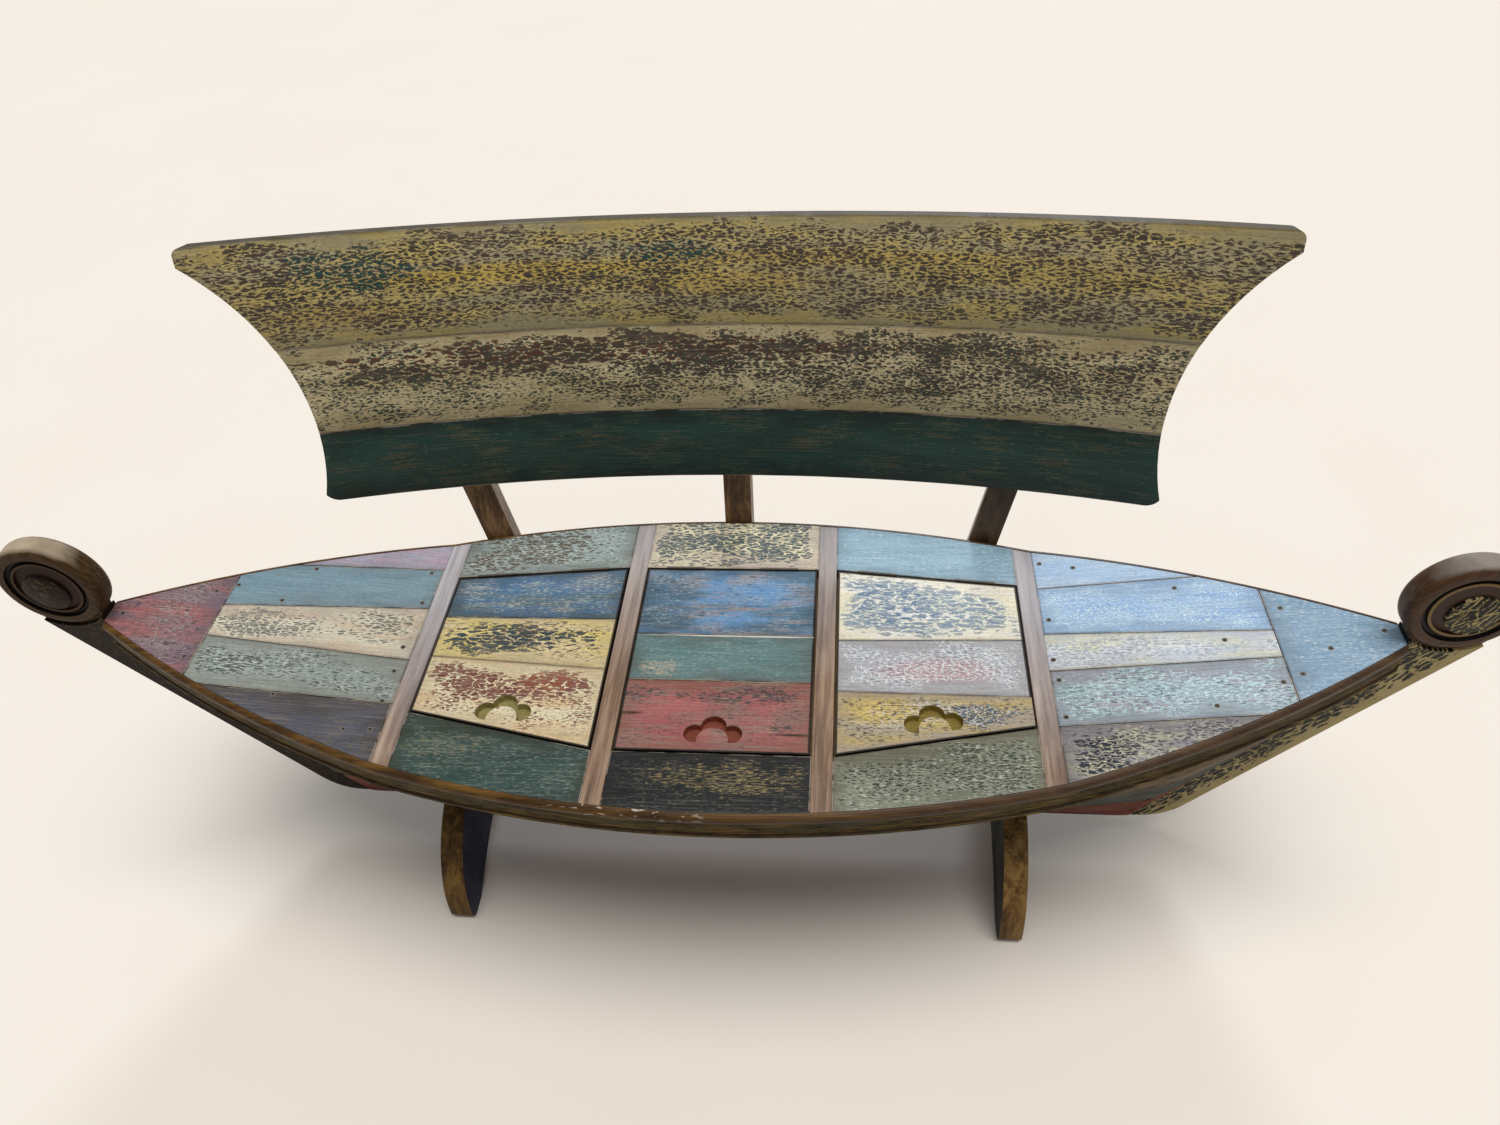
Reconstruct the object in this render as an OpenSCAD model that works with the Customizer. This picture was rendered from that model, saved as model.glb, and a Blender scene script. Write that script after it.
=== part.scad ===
// Boat-shaped bench: a deck of painted planks on a planked hull, three storage lids,
// a reclined curved back on three posts, and stems that end in carved scrolls.
// X runs along the boat, the sitter faces -Y, Z is up and the feet stand on Z = 0.
// Lengths are in millimetres and angles in degrees.

/* [Deck] */
// Height of the deck above the floor
seat_h = 435; // [410:1:470]
// Beam, the width of the deck at the middle
beam = 548; // [520:1:600]
// Length of the deck outline between the points where its two arcs meet
deck_l = 1910; // [1800:5:2050]
// Thickness of the deck boards
board_t = 20; // [17:0.5:24]
// Slope of the two end decks
end_angle = 7.4; // [5:0.1:10]
// Gap between neighbouring planks
plank_gap = 0.6; // [0.4:0.1:1.5]
// Distance from the middle of the deck to the crosswise joint of each tip plank
tip_joint_x = 770; // [720:1:800]

/* [Frames] */
// Thickness of the four frame boards
frame_t = 28; // [22:1:34]
// Distance from the middle to each inner frame
inner_frame_x = 150; // [140:1:165]
// Distance from the middle to each outer frame
outer_frame_x = 452; // [430:1:470]
// Width of the ledges that carry the deck
ledge_w = 18; // [12:1:24]
// Depth of the ledges that carry the deck
ledge_h = 18; // [14:1:24]

/* [Rim] */
// How far the rounded nosing stands out from the deck edge
nosing_out = 9; // [6:0.5:14]
// Height of the rounded nosing
nosing_h = 18; // [14:0.5:20]
// Height of the sheer strake under the deck boards
sheer_h = 30; // [24:1:40]
// Thickness of the sheer strake
sheer_t = 20; // [16:1:26]
// How far the sheer strake stands out from the deck edge
sheer_out = 4; // [2:0.5:5]
// Diameter of the bead along the foot of the sheer strake
bead_d = 7; // [4:0.5:10]

/* [Hull] */
// Clearance between the keel and the floor
keel_clear = 60; // [45:1:80]
// Height of the keel board
keel_h = 75; // [60:1:90]
// Thickness of the keel and of both stems
stem_t = 36; // [30:1:42]
// Rake of the stems from the horizontal
rake = 53.65; // [50:0.1:58]
// Width of the stem that shows beside the planking
stem_face = 50; // [44:1:60]
// Width of the stem above the keel
stem_w = 84; // [75:1:95]
// Radius of the corner where the stem turns into the keel
forefoot_r = 80; // [50:1:95]
// Thickness of the planking at the rim
plank_t = 18; // [14:1:24]
// Thickness of the planking where it meets the keel and stems
plank_foot_t = 5; // [4:0.5:8]
// Height of the top edge of the bottom planks above the keel's underside
bottom_plank_h = 120; // [100:1:140]
// Height of the top edge of the side strakes above the keel's underside
side_strake_h = 220; // [190:1:250]

/* [Scrolls] */
// Radius of each scroll
scroll_r = 76; // [65:1:82]
// Distance of the scroll centre beyond the tip of the deck
scroll_out = 53; // [46:1:60]
// Height of the scroll centre above the tip of the deck
scroll_up = 67; // [56:1:72]
// Width of the rolled band round the scroll
band_w = 18; // [14:1:22]
// How far the rolled band stands out from the face of the stem
band_up = 1.5; // [0.5:0.5:3]
// Rounding of the rolled band's edge
band_round = 11; // [6:0.5:13]
// Width of the ring groove inside the band
groove_w = 8; // [5:0.5:10]
// Depth of the carved grooves
groove_d = 5; // [2:0.5:7]
// Width of the lip inside the ring groove
lip_w = 4; // [3:0.5:6]
// Depth of the hollow crescent round the eye
hollow_d = 4; // [2:0.5:6]
// Radius of the eye
eye_r = 34; // [28:1:36]
// Distance of the eye from the middle of the scroll
eye_off = 14; // [11:0.5:15]
// Direction in which the eye is set, below the horizontal
eye_angle = 52; // [30:1:80]
// Height of the eye's crown above the face of the stem
eye_up = 3; // [1:0.5:5]

/* [Lids] */
// Gap all round a lid
lid_gap = 3; // [2.6:0.1:4]
// Distance from the middle of the deck to the rear edge of the middle lid
lid_rear = 167; // [150:1:175]
// The same distance at the outer end of the outer lids
lid_rear_end = 139; // [125:1:150]
// Distance from the middle of the deck to the front edge of the middle lid
lid_front = 181; // [165:1:190]
// The same distance at the outer end of the outer lids
lid_front_end = 125; // [115:1:135]
// Width of each lid cleat
cleat_w = 30; // [20:1:40]
// Depth of each lid cleat
cleat_t = 16; // [12:1:20]
// Distance of each cleat's middle from the middle of its lid
cleat_x = 86; // [70:1:96]
// Depth of the carved finger pulls
pull_d = 12; // [6:0.5:15]
// Distance from the front edge of a lid to the middle of its pull's tongue
pull_inset = 19; // [17:1:30]
// Radius of the tongue in each pull
tongue_r = 22; // [18:0.5:24]
// Radius of the middle lobe of each pull
lobe_r = 18; // [15:0.5:20]
// Radius of the two side lobes of each pull
side_lobe_r = 15; // [12:0.5:17]

/* [Hinges] */
// Length of each hinge
hinge_l = 60; // [45:1:70]
// Distance of each hinge's middle from the middle of its lid
hinge_x = 74; // [60:1:84]
// Radius of the hinge barrel
barrel_r = 2.2; // [2:0.1:2.8]
// Radius of the hinge pin
pin_r = 1.1; // [0.8:0.1:1.3]
// Height of the hinge axis above the deck
hinge_up = 1; // [0.6:0.1:1.6]
// Depth of the hinge leaves
leaf_h = 17; // [12:0.5:18]

/* [Legs] */
// Distance from the middle to each pair of legs
leg_x = 440; // [420:1:460]
// Thickness of the legs
leg_t = 36; // [30:1:44]
// Spread of the feet from the centre line to their tips
foot_y = 220; // [205:1:232]
// Length of each foot, from its tip to where the arch starts
foot_l = 40; // [30:1:50]
// Radius of the legs' outer curve
leg_r = 178; // [170:1:190]
// Height of the centre of that curve above the floor
leg_bulge_z = 14; // [5:1:25]
// Rise of the arch between the foot and the keel
arch_rise = 6; // [2:0.5:10]
// Rounding of the toes
toe_r = 16; // [8:1:20]

/* [Back] */
// Recline of the back from the vertical
recline = 14; // [8:0.5:18]
// Radius of the back's sweep, measured on its front face
back_r = 2000; // [1800:10:2600]
// Thickness of the back planks
back_t = 24; // [18:1:30]
// Height of the back's lower edge, measured up the slope from the deck
back_lo = 93; // [80:1:120]
// Height of the joint above the bottom plank
back_joint_1 = 206; // [190:1:230]
// Height of the joint above the middle plank
back_joint_2 = 340; // [320:1:370]
// Height of the back's top edge
back_hi = 495; // [470:1:540]
// Half of the back's width at its waist
back_waist = 617; // [600:1:660]
// Half of the back's width at its top tips
back_tip = 735; // [715:1:750]
// Radius of the hollow curve at each side of the back
back_side_r = 365; // [340:1:420]
// Height of the waist, measured up the slope
waist_v = 200; // [170:1:210]
// Radius of the back's lower corners
back_corner_r = 24; // [10:1:35]
// Radius of the back's top tips
back_tip_r = 11; // [6:1:15]

/* [Posts] */
// Width of the posts
post_w = 44; // [36:1:52]
// Depth of the posts behind the back planks
post_d = 42; // [34:1:50]
// Distance from the middle to the foot of each outer post
post_x = 399; // [370:1:420]
// Outward lean of the outer posts
post_splay = 13.5; // [8:0.5:16]
// Height of the post tops, measured up the slope
post_hi = 430; // [390:1:460]
// How far the posts reach down below the deck
post_down = 72; // [55:1:90]

/* [Clearances] */
// Clearance where two curved or fitted pieces meet
seat_gap = 0.3; // [0.2:0.05:0.5]
// Clearance round the hinge pins
pin_gap = 0.05; // [0.03:0.01:0.08]

/* [Hidden] */
$fn = 96;

// Joint lines between the end planks: [y beside the outer frame, y at the tip joint]
left_joints = [[157, 128], [72, 38], [-32, -24], [-113, -113]];
right_joints = [[133, 136], [42, 23], [-27, -26], [-123, -120]];
// Joint lines between the planks of a lid: [y at its lower x, y at its higher x]
lid_joints = [
    [[55, 57], [-23, -41]],
    [[29, 29], [-58, -58]],
    [[23, 30], [-72, -74]]
];
// Turn of the carved finger pull in each lid
pull_turns = [-1, 0, 7];

// Colours as the paint shows them, rear to front or bottom to top
strip_rear_colours = ["#8f9d86", "#a8925c", "#6f8f95"];
strip_front_colours = ["#1f4a47", "#3a3f36", "#82937c"];
left_colours = ["#8d4a52", "#3f6672", "#cfc191", "#93a595", "#44506a"];
right_colours = ["#7ea3b4", "#55759c", "#c6bf93", "#8fa9a6", "#5a5c4c"];
lid_colours = [
    ["#3c5a86", "#b89c34", "#cdb37e"],
    ["#3f6286", "#2f6a56", "#a33d44"],
    ["#cfc08c", "#9b8893", "#b29a5e"]
];
wood_brown = "#7b5a34";
wood_grey = "#8a735c";

half_beam = beam / 2;
arc_r = (deck_l * deck_l / 4 + half_beam * half_beam) / beam;
arc_y = arc_r - half_beam;
stem_half = stem_t / 2;
frame_half = frame_t / 2;
end_x = outer_frame_x + frame_half;
end_slope = tan(end_angle);
board_under = seat_h - board_t;

// Half width of the deck outline, height of the deck and rim levels at a station x
function half_w(x) = sqrt(arc_r * arc_r - x * x) - arc_y;
function x_at_half_w(w) = sqrt(arc_r * arc_r - pow(w + arc_y, 2));
function deck_z(x) = seat_h + max(0, abs(x) - end_x) * end_slope;
function rim_z(x) = deck_z(x) - board_t - sheer_h;

tip_x = x_at_half_w(stem_half);
plank_end_x = x_at_half_w(stem_half + plank_foot_t);
scroll_x = tip_x + scroll_out;
scroll_z = deck_z(tip_x) + scroll_up;

// Foot of the stem's outer edge, which runs into the scroll just inside its round
stem_tuck = 1.5;
tuck_r = scroll_r - stem_tuck;
foot_x = scroll_x + tuck_r * sin(rake)
    - (scroll_z - tuck_r * cos(rake) - keel_clear) / tan(rake);
face_foot_x = foot_x - stem_face / sin(rake);
inner_foot_x = foot_x - stem_w / sin(rake);
function rake_line(x, x0) = keel_clear + (x - x0) * tan(rake);
function rake_x(z, x0) = x0 + (z - keel_clear) / tan(rake);

// Lower edge of the planking, and the outer and inner skin of the side at (x, z)
keel_lip = 4;
min_side = 10;
function low_z(x) = min(
    max(keel_clear + keel_lip, rake_line(abs(x), face_foot_x)),
    rim_z(x) - min_side);
function up(x, z) = (z - low_z(x)) / (rim_z(x) - low_z(x));
function skin_out(x, z) = stem_half + plank_foot_t
    + up(x, z) * max(0.5, half_w(x) + sheer_out / 2 - stem_half - plank_foot_t);
function skin_in(x, z) = stem_half
    + up(x, z) * max(0, half_w(x) - plank_t - stem_half);

// Stations along the hull, with one exactly at each frame and each bend of the deck
bay_steps = 10;
end_steps = 16;
skin_rows = 1;
function between(a, b, steps) = [for (i = [0:steps]) a + (b - a) * i / steps];
function inner_part(list) = [for (i = [1:len(list) - 1]) list[i]];
function stations(reach) = concat(
    between(-reach, -end_x, end_steps),
    between(-outer_frame_x, -inner_frame_x, bay_steps),
    inner_part(between(-inner_frame_x, inner_frame_x, bay_steps)),
    inner_part(between(inner_frame_x, outer_frame_x, bay_steps)),
    between(end_x, reach, end_steps));

// The side and upper strakes are butt-joined on the frames
butts = [-outer_frame_x, -inner_frame_x, inner_frame_x, outer_frame_x];
function lengths(reach) = [
    for (i = [0:len(butts)]) [
        i == 0 ? -reach : butts[i - 1] + plank_gap / 2,
        i == len(butts) ? reach : butts[i] - plank_gap / 2
    ]
];
function stations_on(reach, span) = concat(
    [span[0]],
    [for (x = stations(reach)) if (x > span[0] + 1 && x < span[1] - 1) x],
    [span[1]]);

bottom_top_z = keel_clear + bottom_plank_h;
side_top_z = keel_clear + side_strake_h;
function reach_at(z) = rake_x(z, face_foot_x) - 3;

// Lids: bay -1 is the left one, 0 the middle one and 1 the right one
inner_lo = inner_frame_x - frame_half;
inner_hi = inner_frame_x + frame_half;
outer_lo = outer_frame_x - frame_half;
function bay_x0(bay) = bay == 0 ? -inner_lo : bay == 1 ? inner_hi : -outer_lo;
function bay_x1(bay) = bay == 0 ? inner_lo : bay == 1 ? outer_lo : -inner_hi;
function bay_mid(bay) = (bay_x0(bay) + bay_x1(bay)) / 2;
function outer_share(x) = max(0, abs(x) - inner_hi) / (outer_lo - inner_hi);
function rear_line(x) = lid_rear - outer_share(x) * (lid_rear - lid_rear_end);
function front_line(x) = -lid_front + outer_share(x) * (lid_front - lid_front_end);
function bay_turn(bay) = -bay * atan((lid_rear - lid_rear_end) / (outer_lo - inner_hi));

// Centre of the legs' outer curve, and the arch between the heel and the keel
leg_c_y = foot_y - leg_r;
heel = [foot_y - foot_l, 0];
knee = [stem_half, keel_clear];
arch_chord = norm(knee - heel);
arch_r = arch_chord * arch_chord / (8 * arch_rise) + arch_rise / 2;
arch_out = [keel_clear, heel[0] - stem_half] / arch_chord;
arch_c = (knee + heel) / 2 + arch_out * (arch_rise - arch_r);

// The back stands on the rear of the nosing, on the centre line
back_y = half_beam + nosing_out + seat_gap;
back_out_r = back_r + back_t;
post_turn = asin(post_x / back_out_r);

// Depth extremes, which put the origin under the middle of the bench
front_reach = -(half_beam + nosing_out);
rear_reach = back_y + post_hi * sin(recline) + post_d * cos(recline);
origin_y = (front_reach + rear_reach) / 2;
big = 4000;

module place() {
    translate([0, -origin_y, 0])
        children();
}

// Plan outline of the deck, grown or shrunk by a margin
module deck_plan(margin = 0) {
    intersection() {
        translate([0, -arc_y]) circle(arc_r + margin, $fn = 240);
        translate([0, arc_y]) circle(arc_r + margin, $fn = 240);
    }
}

module deck_prism(margin, z0, z1) {
    translate([0, 0, z0])
        linear_extrude(z1 - z0)
            deck_plan(margin);
}

// A sloping layer of an end deck between two depths below its surface
module end_layer(side, from, to) {
    mirror([side < 0 ? 1 : 0, 0, 0])
        translate([end_x, 0, seat_h])
            rotate([0, -end_angle, 0])
                translate([-beam / 4, -beam, -to * cos(end_angle)])
                    cube([2 * beam, 2 * beam, (to - from) * cos(end_angle)]);
}

// A solid that runs through a list of cross-sections with equal point counts
module loft(rings) {
    n = len(rings[0]);
    last = len(rings) - 1;
    points = [for (ring = rings) for (p = ring) p];
    walls = [
        for (i = [0:last - 1]) for (j = [0:n - 1])
            let (a = i * n + j, b = i * n + (j + 1) % n)
            each [[a, a + n, b + n], [a, b + n, b]]
    ];
    caps = [
        [for (j = [0:n - 1]) j],
        [for (j = [n - 1:-1:0]) last * n + j]
    ];
    polyhedron(points, concat(walls, caps));
}

// Rows of planking on the rear side, and the same rows mirrored to the front
module hull_side(front) {
    mirror([0, front ? 1 : 0, 0])
        children();
}

// Section of a hull plank between two heights: up the outer skin, down the inner one
function skin_ring(x, z0, z1) = concat(
    [for (z = between(z0, z1, skin_rows)) [x, skin_out(x, z), z]],
    [[x, skin_in(x, z1), z1], [x, skin_in(x, z0), z0]]);

module bottom_plank(front) {
    color("#7a2f22") place() hull_side(front)
        loft([
            for (x = stations(reach_at(bottom_top_z)))
                skin_ring(x, low_z(x), bottom_top_z)
        ]);
}

module side_strake(front) {
    color("#2f3a2e") place() hull_side(front)
        for (span = lengths(reach_at(side_top_z)))
            loft([
                for (x = stations_on(reach_at(side_top_z), span))
                    skin_ring(x, max(bottom_top_z, low_z(x)), side_top_z)
            ]);
}

module upper_strake(front) {
    color("#8a6d3a") place() hull_side(front)
        for (span = lengths(plank_end_x))
            loft([
                for (x = stations_on(plank_end_x, span))
                    skin_ring(x, max(side_top_z, low_z(x)), rim_z(x))
            ]);
}

// Section of the sheer strake: a board with a half-round bead along its foot
function sheer_ring(x) =
    let (
        out = half_w(x) + sheer_out,
        inside = max(stem_half, out - sheer_t),
        z0 = rim_z(x),
        z1 = rim_z(x) + sheer_h,
        r = bead_d / 2)
    concat(
        [[x, inside, z0]],
        [for (a = [-90:45:90]) [x, out + r * cos(a), z0 + r + r * sin(a)]],
        [[x, out, z1], [x, inside, z1]]);

module sheer_strake(front) {
    color("#5a5a38") place() hull_side(front)
        loft([for (x = stations(tip_x)) sheer_ring(x)]);
}

// Section of the nosing: flat against the deck boards, rounded outside
function nosing_ring(x) =
    let (y = half_w(x), z1 = deck_z(x), z0 = z1 - board_t, zc = z1 - nosing_h / 2)
    concat(
        [[x, y, z0], [x, y + sheer_out, z0]],
        [for (a = [-75:25:75])
            [x, y + nosing_out - (nosing_out - 1) * (1 - cos(a)), zc + nosing_h / 2 * sin(a)]],
        [[x, y + 1, z1], [x, y, z1]]);

module nosing(front) {
    color(wood_brown) place() hull_side(front)
        loft([for (x = stations(tip_x)) nosing_ring(x)]);
}

module keel() {
    top = keel_clear + keel_h;
    low_reach = face_foot_x - seat_gap;
    top_reach = rake_x(top, low_reach);
    color("#4b3524") place()
        rotate([90, 0, 0])
            linear_extrude(stem_t, center = true)
                polygon([[-low_reach, keel_clear], [low_reach, keel_clear],
                    [top_reach, top], [-top_reach, top]]);
}

// Side view of the right stem without its scroll
module stem_outline() {
    top = keel_clear + keel_h;
    tangent = [scroll_x + tuck_r * sin(rake), scroll_z - tuck_r * cos(rake)];
    step_z = deck_z(tip_x) - board_t;
    inner_top_x = (keel_clear - inner_foot_x * tan(rake) - seat_h + board_t
        + end_x * end_slope) / (end_slope - tan(rake));
    inner_top_z = rake_line(inner_top_x, inner_foot_x);
    chord = forefoot_r * tan(rake / 2);
    difference() {
        polygon([
            [face_foot_x, keel_clear], [foot_x, keel_clear], tangent, [scroll_x, scroll_z],
            [tip_x, scroll_z], [tip_x, step_z], [inner_top_x, inner_top_z],
            [rake_x(top, inner_foot_x), top], [rake_x(top, face_foot_x), top]
        ]);
        difference() {
            polygon([
                [foot_x - chord, keel_clear - 1], [foot_x + 1, keel_clear - 1],
                [foot_x + chord * cos(rake) + 1, keel_clear + chord * sin(rake)],
                [foot_x + chord * cos(rake), keel_clear + chord * sin(rake)]
            ]);
            translate([foot_x - chord, keel_clear + forefoot_r]) circle(forefoot_r);
        }
    }
}

groove_out_r = scroll_r - band_w;
lip_r = groove_out_r - groove_w;
hollow_r = lip_r - lip_w;
band_half = stem_half + band_up;
groove_floor = stem_half - groove_d;

// Half section of the scroll from its centre outwards: face, ring groove and rolled band
module scroll_section() {
    difference() {
        union() {
            square([groove_out_r + 1, stem_half]);
            translate([groove_out_r, 0]) square([band_w, band_half]);
        }
        translate([lip_r + groove_w / 2, groove_floor + groove_w / 2]) circle(groove_w / 2);
        translate([lip_r, groove_floor + groove_w / 2]) square([groove_w, band_half]);
        translate([scroll_r, band_half]) corner_cut(-1, -1, band_round);
    }
}

// The eye stands in a hollow crescent and swells to a low crown
module scroll_eye() {
    crown_h = eye_up + 1;
    crown_r = (eye_r * eye_r + crown_h * crown_h) / (2 * crown_h);
    translate([eye_off * cos(eye_angle), -eye_off * sin(eye_angle), 0])
        rotate_extrude()
            intersection() {
                square([eye_r, stem_half + eye_up]);
                translate([0, stem_half + eye_up - crown_r]) circle(crown_r, $fn = 360);
            }
}

module scroll_hollow() {
    translate([0, 0, stem_half - hollow_d])
        cylinder(h = stem_half, r = hollow_r);
}

// The groove that frees the rolled band from the stem below it
module band_groove() {
    rotate_extrude()
        translate([scroll_r - band_round, groove_floor])
            square([band_round + groove_w / 2, 2 * groove_d]);
}

module at_scroll_faces() {
    for (face = [0, 1])
        translate([scroll_x, 0, scroll_z])
            mirror([0, face, 0])
                rotate([90, 0, 0])
                    children();
}

module stem(side) {
    color(side < 0 ? "#3b2a1c" : "#a39464") place()
        mirror([side < 0 ? 1 : 0, 0, 0]) {
            difference() {
                rotate([90, 0, 0])
                    linear_extrude(stem_t, center = true)
                        difference() {
                            stem_outline();
                            translate([scroll_x, scroll_z]) circle(groove_out_r + lip_w);
                        }
                at_scroll_faces() band_groove();
            }
            difference() {
                translate([scroll_x, 0, scroll_z])
                    rotate([90, 0, 0])
                        rotate_extrude()
                            for (face = [0, 1])
                                mirror([0, face])
                                    scroll_section();
                at_scroll_faces() scroll_hollow();
            }
            at_scroll_faces() scroll_eye();
        }
}

// A pair of frames. Each is one board: its top edge shows as a batten, and below it
// fills the hull down to the keel
module frames(x) {
    color(wood_grey) place()
        for (side = [-1, 1])
            frame(side * x);
}

module frame(x) {
    intersection() {
        translate([x - frame_half, -beam, board_under]) cube([frame_t, 2 * beam, board_t]);
        deck_prism(-seat_gap, board_under, seat_h);
    }
    translate([x, 0, 0])
        rotate([90, 0, 90])
            linear_extrude(frame_t, center = true)
                frame_board(abs(x) + frame_half, keel_clear + keel_h, rim_z(0));
}

module frame_board(x, bottom, rim) {
    low = skin_in(x, bottom) - 2 * seat_gap;
    high = skin_in(x, rim) - 2 * seat_gap;
    rim_y = half_w(x) + sheer_out - sheer_t - seat_gap;
    polygon([
        [-low, bottom], [low, bottom], [high, rim], [rim_y, rim], [rim_y, board_under + 0.01],
        [-rim_y, board_under + 0.01], [-rim_y, rim], [-high, rim]
    ]);
}

// Ledges on the frames, and the bearers under the tip joints
module deck_ledges() {
    inner_margin = sheer_out - sheer_t - seat_gap;
    color("#9a7b52") place() {
        for (bay = [-1:1])
            for (x = [bay_x0(bay), bay_x1(bay) - ledge_w])
                intersection() {
                    translate([x, -beam, board_under - ledge_h])
                        cube([ledge_w, 2 * beam, ledge_h]);
                    deck_prism(inner_margin, board_under - ledge_h, board_under);
                }
        for (side = [-1, 1])
            for (x0 = [end_x, tip_joint_x - ledge_w / 2])
                intersection() {
                    end_layer(side, board_t, board_t + ledge_h);
                    deck_prism(inner_margin, board_under - 2 * ledge_h, seat_h + beam);
                    mirror([side < 0 ? 1 : 0, 0, 0])
                        translate([x0, -beam, 0])
                            cube([ledge_w, 2 * beam, 2 * seat_h]);
                }
    }
}

function four(x0, x1, a0, a1, b0, b1) = [[x0, a0], [x1, a1], [x1, b1], [x0, b0]];

// Deck strips between a lid and the rim
module deck_strip(bay, rear) {
    x0 = bay_x0(bay);
    x1 = bay_x1(bay);
    half_gap = lid_gap / 2;
    color((rear ? strip_rear_colours : strip_front_colours)[bay + 1]) place()
        difference() {
            translate([0, 0, board_under])
                linear_extrude(board_t)
                    intersection() {
                        deck_plan(-seat_gap);
                        polygon(rear
                            ? four(x0, x1, rear_line(x0) + half_gap, rear_line(x1) + half_gap,
                                beam, beam)
                            : four(x0, x1, -beam, -beam,
                                front_line(x0) - half_gap, front_line(x1) - half_gap));
                    }
            if (rear) hinge_slots(bay);
        }
}

// Room for the hinge barrels in the edges beside them
module hinge_slots(bay) {
    at_hinges(bay)
        rotate([0, 90, 0])
            cylinder(h = hinge_l + 1, r = barrel_r + 0.5, center = true);
}

module at_hinges(bay) {
    for (dx = [-hinge_x, hinge_x])
        translate([bay_mid(bay) + dx, rear_line(bay_mid(bay) + dx), seat_h + hinge_up])
            rotate([0, 0, bay_turn(bay)])
                children();
}

// Planks of an end deck, counted from the rear
module end_plank(side, i) {
    joints = side < 0 ? left_joints : right_joints;
    gap = plank_gap / 2;
    far = tip_joint_x - gap;
    rear0 = i == 0 ? beam : joints[i - 1][0] - gap;
    rear1 = i == 0 ? beam : joints[i - 1][1] - gap;
    front0 = i == len(joints) ? -beam : joints[i][0] + gap;
    front1 = i == len(joints) ? -beam : joints[i][1] + gap;
    color((side < 0 ? left_colours : right_colours)[i]) place()
        intersection() {
            end_layer(side, 0, board_t);
            translate([0, 0, board_under - board_t])
                linear_extrude(beam)
                    intersection() {
                        deck_plan(-seat_gap);
                        mirror([side < 0 ? 1 : 0, 0])
                            polygon(four(end_x, far, front0, front1, rear0, rear1));
                    }
        }
}

module tip_plank(side) {
    color(side < 0 ? "#8f3f45" : "#7391a3") place()
        intersection() {
            end_layer(side, 0, board_t);
            translate([0, 0, board_under - board_t])
                linear_extrude(beam)
                    intersection() {
                        deck_plan(-seat_gap);
                        mirror([side < 0 ? 1 : 0, 0])
                            translate([tip_joint_x + plank_gap / 2, -beam])
                                square([tip_x - seat_gap - tip_joint_x - plank_gap / 2,
                                    2 * beam]);
                    }
        }
}

// Lid planks, counted from the rear: 0 rear, 1 middle, 2 front
module lid_plank(bay, i) {
    x0 = bay_x0(bay) + lid_gap;
    x1 = bay_x1(bay) - lid_gap;
    gap = plank_gap / 2;
    joints = lid_joints[bay + 1];
    rear0 = i == 0 ? rear_line(x0) - lid_gap / 2 : joints[i - 1][0] - gap;
    rear1 = i == 0 ? rear_line(x1) - lid_gap / 2 : joints[i - 1][1] - gap;
    front0 = i == 2 ? front_line(x0) + lid_gap / 2 : joints[i][0] + gap;
    front1 = i == 2 ? front_line(x1) + lid_gap / 2 : joints[i][1] + gap;
    color(lid_colours[bay + 1][i]) place()
        difference() {
            translate([0, 0, board_under])
                linear_extrude(board_t)
                    polygon(four(x0, x1, front0, front1, rear0, rear1));
            if (i == 0) hinge_slots(bay);
            if (i == 2) finger_pull(bay);
        }
}

// Carved pull: three lobes of a cloud round a tongue that is left standing
module finger_pull(bay) {
    x = bay_mid(bay);
    side_x = tongue_r + 3.5;
    side_y = side_lobe_r - 3;
    lobe_y = tongue_r + 2;
    translate([x, front_line(x) + pull_inset, seat_h - pull_d])
        rotate([0, 0, pull_turns[bay + 1]])
            linear_extrude(pull_d + 1)
                difference() {
                    union() {
                        translate([0, lobe_y]) circle(lobe_r);
                        for (s = [-1, 1])
                            translate([s * side_x, side_y]) circle(side_lobe_r);
                    }
                    circle(tongue_r);
                }
}

module lid_cleats(bay) {
    end_margin = 22;
    color("#8b6c45") place()
        for (dx = [-cleat_x, cleat_x]) {
            x = bay_mid(bay) + dx;
            front = front_line(x) + end_margin;
            translate([x - cleat_w / 2, front, board_under - cleat_t])
                cube([cleat_w, rear_line(x) - end_margin - front, cleat_t]);
        }
}

// Butt hinges: knuckles on an axis just above the deck, leaves in the gap below
knuckle_gap = 0.4;
knuckle_l = hinge_l / 3;
leaf_in = 0.3;

module hinge_leaf(side) {
    leaf_out = lid_gap / 2 * cos(bay_turn(1)) - 0.03;
    y0 = side > 0 ? leaf_in : -leaf_out;
    top = -barrel_r - 0.5;
    translate([-hinge_l / 2, y0, top - leaf_h])
        cube([hinge_l, leaf_out - leaf_in, leaf_h]);
}

module knuckle(x0, x1, side) {
    leaf_out = lid_gap / 2 * cos(bay_turn(1)) - 0.03;
    translate([x0, 0, 0])
        rotate([0, 90, 0])
            cylinder(h = x1 - x0, r = barrel_r);
    translate([x0, side > 0 ? leaf_in : -leaf_out, -barrel_r - 1])
        cube([x1 - x0, leaf_out - leaf_in, barrel_r + 1 - pin_r - pin_gap]);
}

module hinge_leaves_fixed() {
    color("#3a3632") place()
        for (bay = [-1:1])
            at_hinges(bay)
                difference() {
                    union() {
                        hinge_leaf(1);
                        knuckle(-hinge_l / 2, -knuckle_l / 2 - knuckle_gap, 1);
                        knuckle(knuckle_l / 2 + knuckle_gap, hinge_l / 2, 1);
                    }
                    rotate([0, 90, 0])
                        cylinder(h = hinge_l + 2, r = pin_r + pin_gap, center = true);
                }
}

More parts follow.
